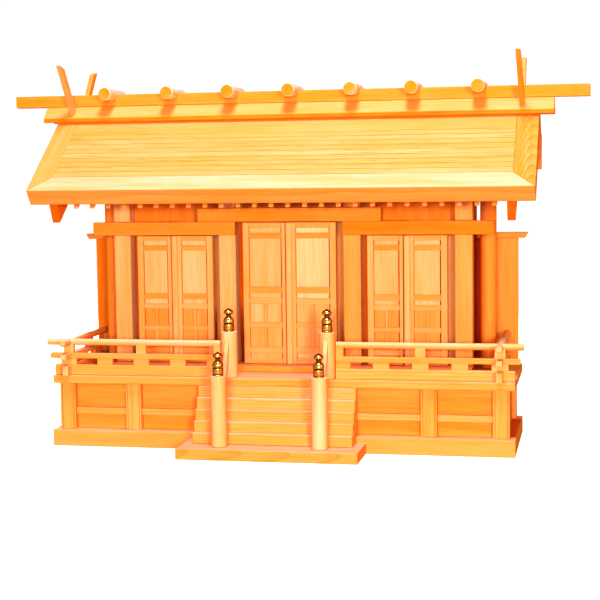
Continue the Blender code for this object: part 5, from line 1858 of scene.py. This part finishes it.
class KAMIDANA_OT_posts(bpy.types.Operator):
    """Build the square posts, the round columns and the lintels"""

    bl_idname = "kamidana.posts"
    bl_label = "Posts and lintels"

    def execute(self, context):
        build_posts()
        build_lintels()
        return {"FINISHED"}


class KAMIDANA_OT_doors(bpy.types.Operator):
    """Build the six panelled door leaves"""

    bl_idname = "kamidana.doors"
    bl_label = "Doors"

    def execute(self, context):
        build_doors()
        return {"FINISHED"}


class KAMIDANA_OT_wing_screens(bpy.types.Operator):
    """Build the wing screens beside the hall"""

    bl_idname = "kamidana.wing_screens"
    bl_label = "Wing screens"

    def execute(self, context):
        build_wing_screens()
        return {"FINISHED"}


class KAMIDANA_OT_eaves(bpy.types.Operator):
    """Build the ceiling, the eave board and its rafters"""

    bl_idname = "kamidana.eaves"
    bl_label = "Ceiling and eaves"

    def execute(self, context):
        build_eaves()
        return {"FINISHED"}


class KAMIDANA_OT_roof(bpy.types.Operator):
    """Build both roof slopes and the gables"""

    bl_idname = "kamidana.roof"
    bl_label = "Roof and gables"

    def execute(self, context):
        build_front_slope()
        build_rear_slope()
        build_gables()
        return {"FINISHED"}


class KAMIDANA_OT_ridge(bpy.types.Operator):
    """Build the ridge cap, the beam, the logs and the finials"""

    bl_idname = "kamidana.ridge"
    bl_label = "Ridge and finials"

    def execute(self, context):
        build_ridge()
        build_chigi()
        return {"FINISHED"}


class KAMIDANA_OT_stage(bpy.types.Operator):
    """Set up the floor, the light and the camera"""

    bl_idname = "kamidana.stage"
    bl_label = "Stage"

    def execute(self, context):
        build_stage()
        return {"FINISHED"}


OPERATORS = (
    KAMIDANA_OT_plinth,
    KAMIDANA_OT_lower_storey,
    KAMIDANA_OT_floors,
    KAMIDANA_OT_stair,
    KAMIDANA_OT_newels,
    KAMIDANA_OT_brass_caps,
    KAMIDANA_OT_railings,
    KAMIDANA_OT_hall_walls,
    KAMIDANA_OT_posts,
    KAMIDANA_OT_doors,
    KAMIDANA_OT_wing_screens,
    KAMIDANA_OT_eaves,
    KAMIDANA_OT_roof,
    KAMIDANA_OT_ridge,
    KAMIDANA_OT_stage,
)

SETTINGS = (
    ("kamidana_timber", KamidanaTimber),
    ("kamidana_brass", KamidanaBrass),
    ("kamidana_rows", KamidanaRows),
    ("kamidana_stage", KamidanaStage),
)


class KAMIDANA_PT_looks(bpy.types.Panel):
    """Lists the settings and the steps"""

    bl_label = "Kamidana"
    bl_idname = "KAMIDANA_PT_looks"
    bl_space_type = "VIEW_3D"
    bl_region_type = "UI"
    bl_category = "Kamidana"

    def draw(self, context):
        layout = self.layout
        for attribute, group in SETTINGS:
            box = layout.box()
            for label in group.__annotations__:
                box.prop(getattr(context.scene, attribute), label)
        for operator in OPERATORS:
            layout.operator(operator.bl_idname)


def register():
    for attribute, group in SETTINGS:
        bpy.utils.register_class(group)
        setattr(bpy.types.Scene, attribute, bpy.props.PointerProperty(type=group))
    for operator in OPERATORS:
        bpy.utils.register_class(operator)
    bpy.utils.register_class(KAMIDANA_PT_looks)


def unregister():
    bpy.utils.unregister_class(KAMIDANA_PT_looks)
    for operator in reversed(OPERATORS):
        bpy.utils.unregister_class(operator)
    for attribute, group in reversed(SETTINGS):
        delattr(bpy.types.Scene, attribute)
        bpy.utils.unregister_class(group)


def main():
    register()
    for operator in OPERATORS:
        family, name = operator.bl_idname.split(".")
        getattr(getattr(bpy.ops, family), name)()


if __name__ == "__main__":
    main()
